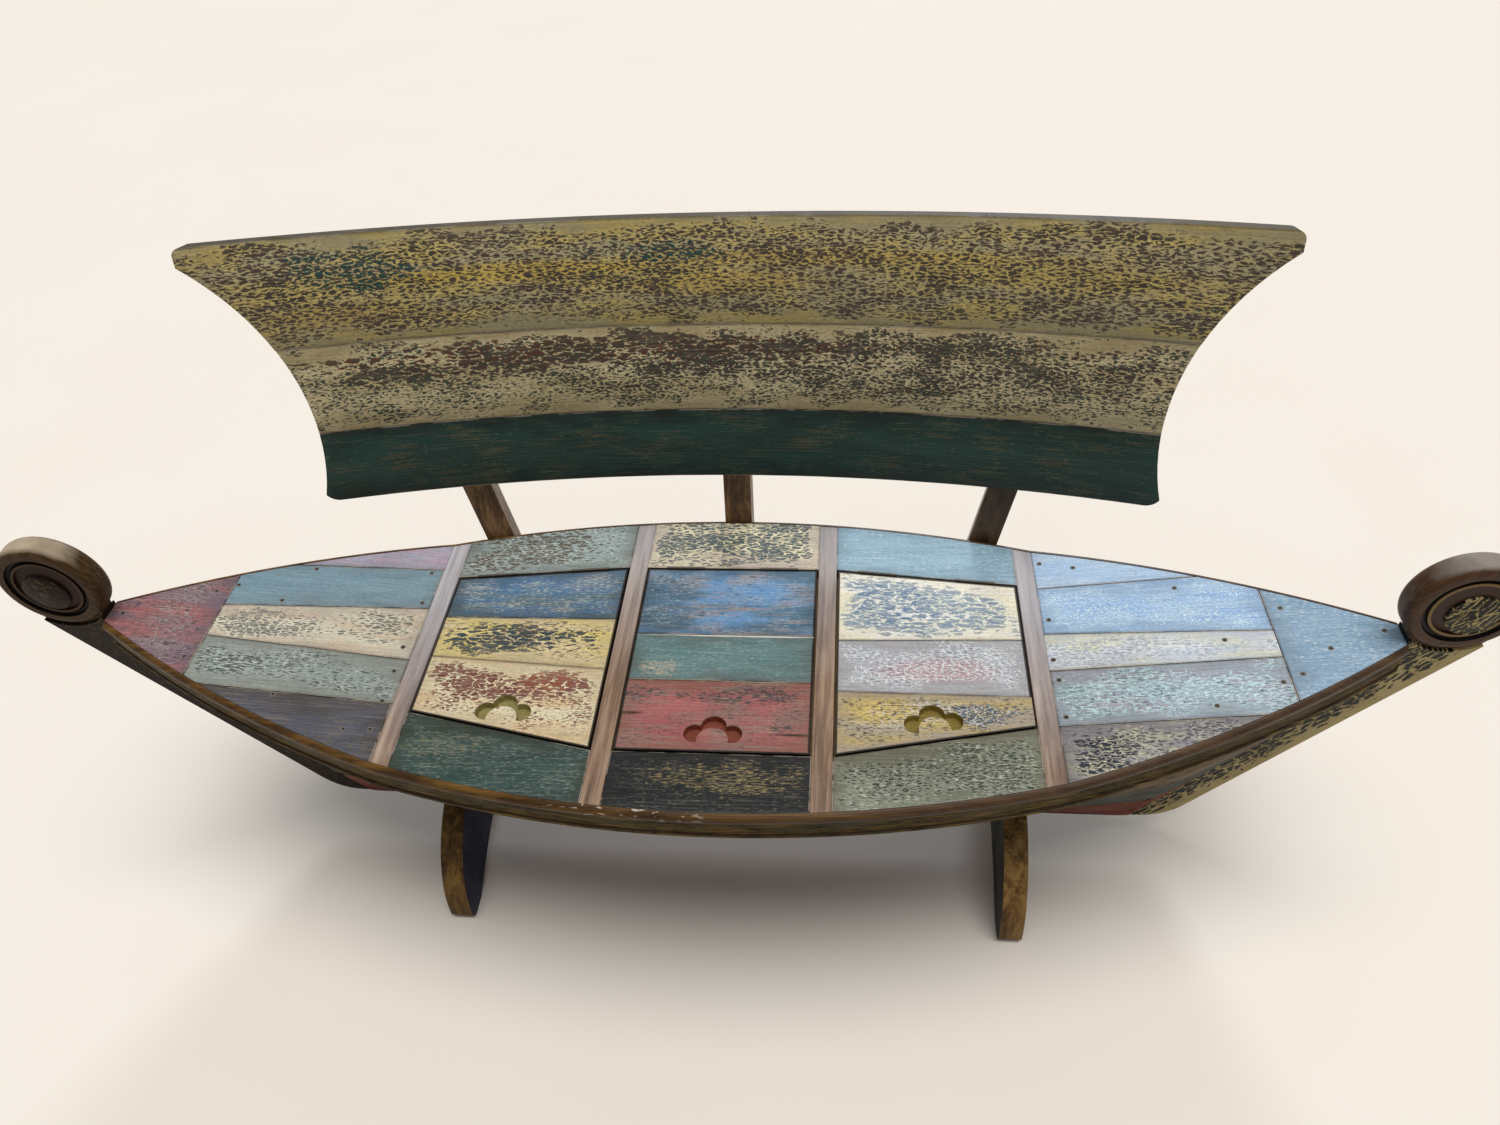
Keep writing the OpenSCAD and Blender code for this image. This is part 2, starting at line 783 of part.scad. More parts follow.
// Moving leaf with the pin fixed in its middle knuckle
module lid_hinges(bay) {
    color("#4a453f") place()
        at_hinges(bay) {
            hinge_leaf(-1);
            knuckle(-knuckle_l / 2, knuckle_l / 2, -1);
            rotate([0, 90, 0])
                cylinder(h = hinge_l, r = pin_r, center = true);
        }
}

// Side view of a leg: bowed outside, lightly arched inside, with a rounded toe
module leg_outline() {
    difference() {
        intersection() {
            translate([leg_c_y, leg_bulge_z]) circle(leg_r, $fn = 160);
            translate([stem_half, 0]) square([foot_y, seat_h]);
        }
        translate(arch_c) circle(arch_r, $fn = 240);
        translate([foot_y, 0]) corner_cut(-1, 1, toe_r);
    }
}

// The hull as the legs meet it, grown by the clearance, with the strakes' own stations
module hull_core(x0, x1) {
    function core_ring(x) = concat(
        [[x, -plank_t, low_z(x) - seat_gap]],
        [for (z = [low_z(x), bottom_top_z, side_top_z, rim_z(x)])
            [x, skin_out(x, z) + 2 * seat_gap, z - (z > low_z(x) ? 0 : seat_gap)]],
        [[x, -plank_t, rim_z(x)]]);
    loft([
        for (x = stations(reach_at(bottom_top_z)))
            if (x > x0 && x < x1) core_ring(x)
    ]);
}

module leg(side, front) {
    x = side * leg_x;
    color(wood_brown) place() hull_side(front)
        difference() {
            translate([x, 0, 0])
                rotate([90, 0, 90])
                    linear_extrude(leg_t, center = true)
                        leg_outline();
            hull_core(x - 2 * leg_t, x + 2 * leg_t);
        }
}

// Frame of reference of the reclined back: its rear face passes through the origin
module back_frame() {
    translate([0, back_y, seat_h])
        rotate([-recline, 0, 0])
            children();
}

module back_cylinder(r, v0, v1) {
    translate([0, -back_out_r, v0])
        cylinder(h = v1 - v0, r = r, $fn = 240);
}

// Front view of the back, with hollow sides and rounded corners
module back_outline() {
    side_x = back_waist + back_side_r;
    low_x = side_x - sqrt(back_side_r * back_side_r - pow(waist_v - back_lo, 2));
    difference() {
        translate([-back_tip, back_lo]) square([2 * back_tip, back_hi - back_lo]);
        for (s = [-1, 1]) {
            translate([s * side_x, waist_v]) circle(back_side_r, $fn = 160);
            translate([s * low_x, back_lo]) corner_cut(-s, 1, back_corner_r);
            translate([s * back_tip, back_hi]) corner_cut(-s, -1, back_tip_r);
        }
    }
}

// Waste outside a round of radius r in a corner that opens towards (sx, sy)
module corner_cut(sx, sy, r) {
    difference() {
        translate([sx > 0 ? -1 : -r, sy > 0 ? -1 : -r]) square(r + 1);
        translate([sx * r, sy * r]) circle(r);
    }
}

module back_plank(v0, v1, tint) {
    color(tint) place() back_frame()
        intersection() {
            difference() {
                back_cylinder(back_out_r, back_lo - 1, back_hi + 1);
                back_cylinder(back_r, back_lo - 2, back_hi + 2);
            }
            rotate([90, 0, 0])
                linear_extrude(big, center = true)
                    intersection() {
                        back_outline();
                        translate([-back_tip, v0]) square([2 * back_tip, v1 - v0]);
                    }
            translate([-big / 2, -back_r / 2, 0])
                cube([big, big, 2 * back_hi]);
        }
}

// A post lies against the back and is notched over the nosing and the sheer strake
module post(side) {
    lean = side * post_splay;
    scribe = post_d / 3;
    color("#5b3f26") place()
        difference() {
            back_frame()
                difference() {
                    translate([0, -back_out_r, 0])
                        rotate([0, 0, -side * post_turn])
                            translate([0, back_out_r, 0])
                                rotate([0, lean, 0])
                                    translate([-post_w / 2, -scribe, -2 * post_down])
                                        cube([post_w, post_d + scribe,
                                            2 * post_down + post_hi]);
                    back_cylinder(back_out_r + seat_gap, -4 * post_down, back_hi + post_hi);
                }
            deck_prism(nosing_out + seat_gap, board_under + board_t - nosing_h - 2,
                seat_h + 1);
            deck_prism(sheer_out + bead_d / 2 + seat_gap, 0, seat_h - nosing_h);
            translate([-big / 2, 0, -seat_h - post_down])
                cube([big, big, 2 * seat_h]);
        }
}

keel();
stem(-1);  // stem_left
stem(1);  // stem_right
bottom_plank(true);  // bottom_plank_front
bottom_plank(false);  // bottom_plank_rear
side_strake(true);  // side_strake_front
side_strake(false);  // side_strake_rear
upper_strake(true);  // upper_strake_front
upper_strake(false);  // upper_strake_rear
sheer_strake(true);  // sheer_strake_front
sheer_strake(false);  // sheer_strake_rear
nosing(true);  // nosing_front
nosing(false);  // nosing_rear
frames(inner_frame_x);  // frames_inner
frames(outer_frame_x);  // frames_outer
deck_ledges();
deck_strip(-1, true);  // rear_strip_left
deck_strip(0, true);  // rear_strip_middle
deck_strip(1, true);  // rear_strip_right
deck_strip(-1, false);  // front_strip_left
deck_strip(0, false);  // front_strip_middle
deck_strip(1, false);  // front_strip_right
end_plank(-1, 0);  // end_plank_left_1
end_plank(-1, 1);  // end_plank_left_2
end_plank(-1, 2);  // end_plank_left_3
end_plank(-1, 3);  // end_plank_left_4
end_plank(-1, 4);  // end_plank_left_5
tip_plank(-1);  // tip_plank_left
end_plank(1, 0);  // end_plank_right_1
end_plank(1, 1);  // end_plank_right_2
end_plank(1, 2);  // end_plank_right_3
end_plank(1, 3);  // end_plank_right_4
end_plank(1, 4);  // end_plank_right_5
tip_plank(1);  // tip_plank_right
hinge_leaves_fixed();
lid_plank(-1, 0);  // lid_left_rear_plank
lid_plank(-1, 1);  // lid_left_mid_plank
lid_plank(-1, 2);  // lid_left_front_plank
lid_cleats(-1);  // lid_left_cleats
lid_hinges(-1);  // lid_left_hinges
lid_plank(0, 0);  // lid_middle_rear_plank
lid_plank(0, 1);  // lid_middle_mid_plank
lid_plank(0, 2);  // lid_middle_front_plank
lid_cleats(0);  // lid_middle_cleats
lid_hinges(0);  // lid_middle_hinges
lid_plank(1, 0);  // lid_right_rear_plank
lid_plank(1, 1);  // lid_right_mid_plank
lid_plank(1, 2);  // lid_right_front_plank
lid_cleats(1);  // lid_right_cleats
lid_hinges(1);  // lid_right_hinges
leg(-1, true);  // leg_front_left
leg(1, true);  // leg_front_right
leg(-1, false);  // leg_rear_left
leg(1, false);  // leg_rear_right
post(-1);  // post_left
post(0);  // post_middle
post(1);  // post_right
back_plank(back_lo, back_joint_1, "#17453d");  // back_plank_bottom
back_plank(back_joint_1, back_joint_2, "#a8966a");  // back_plank_middle
back_plank(back_joint_2, back_hi, "#94803a");  // back_plank_top
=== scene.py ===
# %% [markdown]
# # The boat-shaped bench
# A bench made of old boat timber: a deck of painted planks, three lids, a planked hull,
# a curved back on three posts and two stems that end in carved scrolls. The solids come
# packed from CAD. This lesson gives them their paint, wood and varnish, adds the nail
# plugs, and then lights the bench as a small studio would.

# %% Load the frame
import math

import bpy
from mathutils import Euler, Matrix, Vector


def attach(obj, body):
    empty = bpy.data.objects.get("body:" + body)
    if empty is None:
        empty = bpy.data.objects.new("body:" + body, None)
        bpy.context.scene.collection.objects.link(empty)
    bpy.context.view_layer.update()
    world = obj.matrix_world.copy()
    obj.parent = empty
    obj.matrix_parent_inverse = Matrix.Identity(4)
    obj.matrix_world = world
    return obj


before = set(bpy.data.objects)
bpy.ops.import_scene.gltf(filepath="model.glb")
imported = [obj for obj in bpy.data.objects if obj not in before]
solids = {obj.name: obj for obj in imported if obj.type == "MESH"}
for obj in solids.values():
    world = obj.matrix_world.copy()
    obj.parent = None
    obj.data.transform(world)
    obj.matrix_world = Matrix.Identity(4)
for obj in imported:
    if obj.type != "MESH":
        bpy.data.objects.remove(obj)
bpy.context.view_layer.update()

# %% [markdown]
# ## Colours and nodes
# Paint colours are easiest to judge in sRGB, the numbers a colour picker shows, while a
# shader works with linear light. One function turns the first into the second. One more
# adds a shader node with its settings, its values and its links, so that every material
# below reads as a list of steps. Blender calls a node ShaderNodeMath, for one, and only the
# part after ShaderNode is written each time.

# %% A colour, and a node
def linear(shade):
    parts = [int(shade[i:i + 2], 16) / 255 for i in (1, 3, 5)]
    return tuple(p / 12.92 if p <= 0.04045 else ((p + 0.055) / 1.055) ** 2.4
                 for p in parts) + (1.0,)


def add(tree, kind, inputs=None, **settings):
    node = tree.nodes.new("ShaderNode" + kind)
    for name, value in settings.items():
        setattr(node, name, value)
    shown = [s for s in node.inputs if s.enabled]
    for key, value in (inputs or {}).items():
        socket = shown[key] if isinstance(key, int) else next(s for s in shown if s.name == key)
        if isinstance(value, bpy.types.Node):
            value = next(s for s in value.outputs if s.enabled)
        if isinstance(value, bpy.types.NodeSocket):
            tree.links.new(value, socket)
        else:
            socket.default_value = value
    return node


def fresh(name):
    material = bpy.data.materials.new(name)
    material.use_nodes = True
    material.node_tree.nodes.clear()
    return material, material.node_tree


print("umber", [round(c, 3) for c in linear("#3d2c1c")])

# %% [markdown]
# ## The boards' own directions
# Paint flakes and scratches run along the grain, so each board needs coordinates that run
# along it. Object coordinates in metres do for that: as they are for a deck board, tipped
# up for the back and stood on edge for the hull. The same turn, applied to the board's
# corners here in Python, also gives its long edges as straight lines, and the material
# later uses the distance from them to darken the joints.

# %% Long edges of a board
SHORTEST_EDGE = 0.07


def edge_lines(solid, turn, facing=1):
    spin = Euler(turn).to_matrix()
    seen = {}
    for face in solid.data.polygons:
        if (spin @ face.normal).z * facing < 0.6:
            continue
        corners = [spin @ solid.data.vertices[i].co for i in face.vertices]
        for a, b in zip(corners, corners[1:] + corners[:1]):
            ends = [(round(p.x, 5), round(p.y, 5)) for p in (a, b)]
            if ends[0] != ends[1]:
                seen.setdefault(tuple(sorted(ends)), []).append(ends)
    single = [ends[0] for ends in seen.values() if len(ends) == 1]
    if not single:
        return []
    middle = Vector([sum(p[k] for pair in single for p in pair) / 2 / len(single)
                     for k in (0, 1)])
    runs = {}
    for (ax, ay), (bx, by) in single:
        along = Vector((bx - ax, by - ay))
        normal = Vector((-along.y, along.x)).normalized()
        if normal.dot(middle - Vector((ax, ay))) < 0:
            normal.negate()
        offset = -normal.dot(Vector((ax, ay)))
        key = (round(normal.x * 40), round(normal.y * 40), round(offset * 400))
        entry = runs.setdefault(key, [0.0, normal, offset])
        entry[0] += along.length
    longest = sorted(runs.values(), key=lambda e: -e[0])[:5]
    return [(n.x, n.y, d) for length, n, d in longest if length > SHORTEST_EDGE]


FLAT = (0.0, 0.0, 0.0)
BACK = (-math.radians(76), 0.0, 0.0)
SIDE = (-math.radians(90), 0.0, 0.0)
for name, turn in (("lid_middle_mid_plank", FLAT), ("back_plank_middle", BACK)):
    print(name, [tuple(round(v, 3) for v in line) for line in edge_lines(solids[name], turn)])

# %% [markdown]
# ## Painted boat planks
# The planks keep coats of oil paint from their years on a hull. The upper coats have
# broken into flakes that stretch along the grain, have cracked into a fine net that lets
# an older coat through, or are left only as short dashes in the fibres. Near the joints the
# sander and a brown glaze left them plain. Painting that by hand would need image maps. A
# Voronoi texture gives flakes and nets: its distance to the cell edge, roughened by a fine
# noise, is a height. What stands above a level is a flake and what lies below a low one is
# the net between them. The dashes take the noise alone. Slower noises move the level, so
# that flakes merge in one place and shrink to dots in another. The finest flakes are about
# 3 mm wide. Those don't show in the render, so they are drawn 3.5 to 6 mm wide.
#
# Oil paint has an IOR near 1.5 and, under satin varnish, a roughness near 0.4, which gives
# a soft sheen in place of a mirror. A plank was painted on one side only, so its sawn edges
# and its reverse show brown wood. Along the open gaps at a lid's ends and at one long edge
# its planks are painted black, a painted shadow of the gaps.

# %% One worn coat
# How sharply a coat's edge is cut
CRISP = 18.0
# For each kind: weight of the cells, of the noise, level with none left and with all left
KINDS = {"flakes": (1.0, 0.42, 0.76, 0.27), "net": (-1.0, -0.70, -0.24, -0.50),
         "dashes": (0.0, 1.0, 0.74, 0.47)}


# Cover is the share of the board that a coat hides and swing how far that varies from place
# to place. Cell is a flake's width in mm and stretch how many times as long it is
def coat(kind, paint, cover, cell, swing=0.5, stretch=2.7, second=None, at=None):
    return dict(kind=kind, paint=paint, cover=cover, cell=cell, swing=swing,
                stretch=stretch, second=second, at=at)


def worn_coat(tree, flat, slow, inside, look):
    cell, long = look["cell"], look["cell"] * look["stretch"]
    fine = (long * 0.9, cell * 0.55) if look["kind"] == "dashes" else (cell * 0.6, cell * 0.45)
    # The cells are bent by some 4 mm and their outlines roughened by a finer noise
    noise = {}
    for what, wide, high, detail, rough in (
            ("blot", long * 3.4, cell * 1.9, 3.0, 0.6), ("grit", *fine, 3.0, 0.6),
            ("bend", 14, 9, 2.0, 0.5)):
        scaled = add(tree, "VectorMath", {0: flat, 1: (1000 / wide, 1000 / high, 0)},
                     operation="MULTIPLY")
        noise[what] = add(tree, "TexNoise", {
            "Vector": scaled, "Scale": 1.0, "Detail": detail, "Roughness": rough},
            noise_dimensions="2D")
    bent = add(tree, "VectorMath", {0: noise["bend"].outputs["Color"],
               1: (0.012, 0.008, 0), 2: flat}, operation="MULTIPLY_ADD")
    cells = add(tree, "VectorMath", {0: bent, 1: (1000 / long, 1000 / cell, 0)},
                operation="MULTIPLY")
    rim = add(tree, "TexVoronoi", {"Vector": cells, "Scale": 1.0},
              feature="DISTANCE_TO_EDGE", voronoi_dimensions="2D")
    by_cell, by_noise, bare, full = KINDS[look["kind"]]
    height = add(tree, "Math", {0: noise["grit"].outputs["Fac"], 1: by_noise,
                 2: add(tree, "Math", {0: rim.outputs["Distance"], 1: by_cell},
                        operation="MULTIPLY")}, operation="MULTIPLY_ADD")
    # How much of the coat is left at this point, from 0 to 1
    share = add(tree, "Math", {0: slow, 1: 2 * look["swing"],
                2: look["cover"] - look["swing"] - 0.5}, operation="MULTIPLY_ADD")
    share = add(tree, "Math", {0: noise["blot"].outputs["Fac"], 1: 1.0, 2: share},
                operation="MULTIPLY_ADD", use_clamp=True)
    share = add(tree, "Math", {0: share, 1: inside}, operation="MULTIPLY")
    level = add(tree, "Math", {0: share, 1: full - bare, 2: bare}, operation="MULTIPLY_ADD")
    cut = add(tree, "Math", {0: height, 1: level}, operation="SUBTRACT")
    return add(tree, "Math", {0: cut, 1: CRISP, 2: 0.5},
               operation="MULTIPLY_ADD", use_clamp=True)


print("kinds of wear", ", ".join(KINDS))

# %% [markdown]
# A board's wear isn't the same all over. One function makes a soft patch on a board. Its
# place and size are shares of the board's own half length and half width, from -1 to 1,
# so they hold for boards of any size.

# %% A patch on a board
# A noise of about 0.5, times RAGGED, is added to the distance. The patch's edge, at a
# distance of 1, is then at LEVEL, and it fades over FADE to either side
RAGGED, LEVEL, FADE = 1.8, 1.9, 0.35


def board_box(solid, turn):
    spin = Euler(turn).to_matrix()
    reach = [spin @ v.co for v in solid.data.vertices]
    low, high = (Vector([end(p[k] for p in reach) for k in (0, 1)]) for end in (min, max))
    return (low + high) / 2, (high - low) / 2


def patch(tree, turned, board, where, wobble):
    middle, half = board
    u, v, across, along = where
    away = add(tree, "VectorMath", {0: turned, 1: (
        middle.x + u * half.x, middle.y + v * half.y, 0)}, operation="SUBTRACT")
    away = add(tree, "VectorMath", {0: away, 1: (
        1 / (across * half.x), 1 / (along * half.y), 0)}, operation="MULTIPLY")
    away = add(tree, "VectorMath", {0: away}, operation="LENGTH")
    away = add(tree, "Math", {0: wobble, 1: RAGGED, 2: away.outputs["Value"]},
               operation="MULTIPLY_ADD")
    return add(tree, "MapRange", {"Value": away, "From Min": LEVEL + FADE,
               "From Max": LEVEL - FADE})


print("a patch fades from", round(LEVEL - FADE, 2), "to", round(LEVEL + FADE, 2))

# %% [markdown]
# A joint collects glaze and dirt, so the material needs its distance from the nearest edge.
# Along an open gap, which a lid has at its ends and at one long edge, the plank is painted
# black, a painted shadow of the gap, and that needs the distance too. Each edge is a line,
# the distance from it is one dot product, and the smallest distance wins.

# %% Distance from the nearest edge
FAR = 1.0


def nearest_edge(tree, turned, lines):
    nearest = None
    for nx, ny, d in lines:
        away = add(tree, "VectorMath", {0: turned, 1: (nx, ny, 0)}, operation="DOT_PRODUCT")
        away = add(tree, "Math", {0: away.outputs["Value"], 1: d}, operation="ADD")
        nearest = away if nearest is None else add(
            tree, "Math", {0: nearest, 1: away}, operation="MINIMUM")
    return nearest or FAR


print("a board without straight edges counts as", FAR, "m from them")

# %% [markdown]
# ## Measures of the deck
# The depth of the finger pulls, the place of the scrolls and the seats of the nail plugs
# follow from the deck. It is flat in the middle and rises in a straight slope towards both
# tips. The boat's centre line isn't the middle of the whole bench, because the back leans
# out behind.

# %% Deck measures
DECK_TOP = 0.435
CENTRE_LINE = -0.0725394
SLOPE_START = 0.466
SLOPE = math.radians(7.4)


def deck_height(x):
    return DECK_TOP + (abs(x) - SLOPE_START) * math.tan(SLOPE)


print("deck height 0.9 m out", round(deck_height(0.9), 3))

# %% [markdown]
# ## A painted board
# On the real bench the sander, the glaze and the hands of its users came after the paint,
# so the material is laid in the same order: the ground colour and its patches, each worn
# coat, then streaks, glaze and dirt at the joints and bare edges. Over these come a pale
# arris, partly wear and partly a painted highlight, and a painted shadow along the lids'
# open gaps. Every setting has a usual value, and a board names only those in which it
# differs. That keeps all the boards in one function and a few tables.

# %% Painted wood
# Distances from a joint or a gap, in metres, at which each of these starts and is full:
# joint dirt, a pale arris that is partly wear and partly a painted highlight, and the
# painted shadow along an open gap
JOINT_DIRT, ARRIS_WEAR_AND_HIGHLIGHT, GAP_SHADOW = (0.0032, 0.0014), (0.0019, 0.0010), (0.0030, 0.0018)
# The glaze and the plain rim wander by this much, which adds some 35 mm to their distances
WANDER, GLAZE, PLAIN_RIM = 0.07, (0.062, 0.034), 0.036
PLAIN = dict(tone=None, coats=(), patches=(), streak="#c9bda0", streaks=0.12, rub=None,
             rubs=0.35, edge="#5d4f40", edges=0.6, plain=0.014, seed=0.0, turn=FLAT,
             facing=1, gloss=0.42, shine=0.3, varnish=0.12, sunk=None, gap=None,
             chips=None, deep=(0.7, 0.2), sawn="#4a3d2e", joints=True, reverse="#5f4d39")


# Coats over a ground colour. Each is how much of it covers, and a hex shade or a node
def lay_coats(tree, ground, layers):
    colour = linear(ground)
    for cover, shade in layers:
        colour = add(tree, "Mix", {"Factor": cover, "A": colour,
                     "B": linear(shade) if isinstance(shade, str) else shade},
                     data_type="RGBA")
    return colour


def finish_nodes(material, names):
    for name in names:
        solids[name].data.materials.clear()
        solids[name].data.materials.append(material)


def painted_wood(node, paint, **changes):
    look = dict(PLAIN, **changes)
    solid = solids[node]
    material, tree = fresh("oil_paint_" + node)
    place = add(tree, "TexCoord")
    turned = add(tree, "Mapping", {"Vector": place.outputs["Object"],
                 "Rotation": look["turn"]})
    depth = add(tree, "SeparateXYZ", {0: turned})
    # The pattern also moves with the depth, so that a board's edges aren't streaked
    shift = add(tree, "CombineXYZ", {
        axis: add(tree, "Math", {0: depth.outputs[2], 1: look["deep"][axis],
                  2: look["seed"] * by}, operation="MULTIPLY_ADD")
        for axis, by in ((0, 0.61), (1, 0.37))})
    flat = add(tree, "VectorMath", {0: turned, 1: shift}, operation="ADD")
    noise = {}
    for what, wide, high, detail, rough in (
            ("slow", 90, 40, 4.0, 0.62), ("broad", 160, 34, 4.0, 0.62),
            ("fibre", 70, 2.6, 3.0, 0.55), ("grit", 6, 3.5, 4.0, 0.65)):
        scaled = add(tree, "VectorMath", {0: flat, 1: (1000 / wide, 1000 / high, 0)},
                     operation="MULTIPLY")
        noise[what] = add(tree, "TexNoise", {
            "Vector": scaled, "Scale": 1.0, "Detail": detail, "Roughness": rough},
            noise_dimensions="2D").outputs["Fac"]
    board = board_box(solid, look["turn"])
    lines = edge_lines(solid, look["turn"], look["facing"]) if look["joints"] else []
    nearest = nearest_edge(tree, turned, lines)
    wavy = add(tree, "Math", {0: noise["slow"], 1: WANDER, 2: nearest},
               operation="MULTIPLY_ADD")
    middle_part = add(tree, "MapRange", {"Value": wavy,
                      "From Min": PLAIN_RIM + look["plain"] * 0.1,
                      "From Max": PLAIN_RIM + look["plain"]})
    # Colours, from the lowest coat up
    tone = add(tree, "MapRange", {"Value": noise["broad"], "From Min": 0.42,
               "From Max": 0.60})
    layers = [(tone, look["tone"] or paint)]
    if look["rub"]:
        layers.append((add(tree, "MapRange", {"Value": add(
            tree, "Math", {0: noise["slow"], 1: noise["fibre"]}, operation="ADD"),
            "From Min": 1.10 - look["rubs"] * 0.25, "From Max": 1.24 - look["rubs"] * 0.25,
            "To Max": 0.8}), look["rub"]))
    for where, tint, amount in look["patches"]:
        mask = patch(tree, turned, board, where, noise["broad"])
        layers.append((add(tree, "Math", {0: mask, 1: amount}, operation="MULTIPLY"), tint))
    relief = noise["fibre"]
    for number, wear in enumerate(look["coats"]):
        inside = middle_part
        if wear["at"]:
            inside = add(tree, "Math", {0: inside, 1: patch(
                tree, turned, board, wear["at"], noise["broad"])}, operation="MULTIPLY")
        moved = add(tree, "VectorMath", {0: flat, 1: (0.31 * number, 0.17 * number,
                    0)}, operation="ADD")
        left_on = worn_coat(tree, moved, noise["slow"], inside, wear)
        if wear["second"]:
            layers.append((left_on, add(tree, "Mix", {
                "Factor": tone, "A": linear(wear["paint"]), "B": linear(wear["second"])},
                data_type="RGBA")))
        else:
            layers.append((left_on, wear["paint"]))
        relief = add(tree, "Math", {0: left_on, 1: 0.5, 2: relief}, operation="MULTIPLY_ADD")
    back = Euler(look["turn"]).to_matrix().transposed()
    facing = add(tree, "VectorMath", {0: place.outputs["Normal"],
                 1: back @ Vector((0, 0, look["facing"]))}, operation="DOT_PRODUCT")
    outward = add(tree, "Math", {0: facing.outputs["Value"]}, operation="ABSOLUTE")
    broken = add(tree, "MapRange", {"Value": noise["slow"], "From Min": 0.46,
                 "From Max": 0.54, "To Max": 0.4})
    # Streaks in the fibres, a brown glaze along the joints, old dirt in them, a pale arris in
    # places that is partly wear and partly a painted highlight, bare sawn edges, and a painted
    # shadow along open gaps
    masks = [(noise["fibre"], (0.55, 0.70), look["streaks"], look["streak"]),
             (wavy, GLAZE, look["edges"], look["edge"]),
             (nearest, JOINT_DIRT, 0.42, "#2e231a"),
             (nearest, ARRIS_WEAR_AND_HIGHLIGHT, broken, "#d8cbb4"),
             (outward, (0.75, 0.45), 0.85, look["sawn"])]
    # Along a lid's open gap the plank is painted black, a painted shadow of the gap
    if look["gap"] is not None:
        gap_shadow_edges = [line for line in lines
                      if abs(line[0]) > 0.5 or line[1] * look["gap"] < -0.5]
        masks.append((nearest_edge(tree, turned, gap_shadow_edges), GAP_SHADOW, 0.92, "#0d0a08"))
    for value, (start, end), most, shade in masks:
        layers.append((add(tree, "MapRange", {"Value": value, "From Min": start,
                      "From Max": end, "To Max": most}), shade))
    if look["chips"]:
        where, tint = look["chips"]
        layers.append((patch(tree, turned, board, where, noise["broad"]), tint))
    if look["sunk"]:
        # The finger pull: a pale rim, partly worn paint and partly a painted highlight, then
        # the colour of its walls and floor
        away = add(tree, "MapRange", {"Value": nearest, "From Min": 0.004, "From Max": 0.006})
        for start, end, shade, most in ((0.0002, 0.0007, "#d9cfae", 0.55),
                                        (0.0014, 0.0024, look["sunk"], 1.0)):
            low_down = add(tree, "MapRange", {
                "Value": depth.outputs[2], "From Min": DECK_TOP - start,
                "From Max": DECK_TOP - end, "To Max": most})
            layers.append((add(tree, "Math", {0: low_down, 1: away},
                               operation="MULTIPLY"), shade))
    if look["reverse"]:
        # The side that nobody sees was never painted
        layers.append((add(tree, "MapRange", {"Value": facing.outputs["Value"],
                      "From Min": -0.3, "From Max": -0.6, "To Max": 0.9}), look["reverse"]))
    colour = lay_coats(tree, paint, layers)
    shade = add(tree, "Math", {0: noise["grit"], 1: noise["fibre"]}, operation="ADD")
    shade = add(tree, "MapRange", {"Value": shade, "From Min": 0.7,
                "From Max": 1.3, "To Min": 0.80, "To Max": 1.20})
    colour = add(tree, "VectorMath", {0: colour, 1: shade}, operation="MULTIPLY")
    bump = add(tree, "Bump", {"Height": relief, "Strength": 0.5,
               "Distance": 0.0006})
    dull = add(tree, "MapRange", {"Value": noise["slow"], "From Min": 0.3,
               "From Max": 0.7, "To Min": look["gloss"] - 0.08, "To Max": look["gloss"] + 0.14})
    skin = add(tree, "BsdfPrincipled", {
        "Base Color": colour, "Roughness": dull, "Normal": bump, "IOR": 1.5,
        "Specular IOR Level": look["shine"], "Coat Weight": look["varnish"],
        "Coat Roughness": 0.28})
    add(tree, "OutputMaterial", {"Surface": skin})
    finish_nodes(material, [node])


print("settings of a painted board", len(PLAIN))
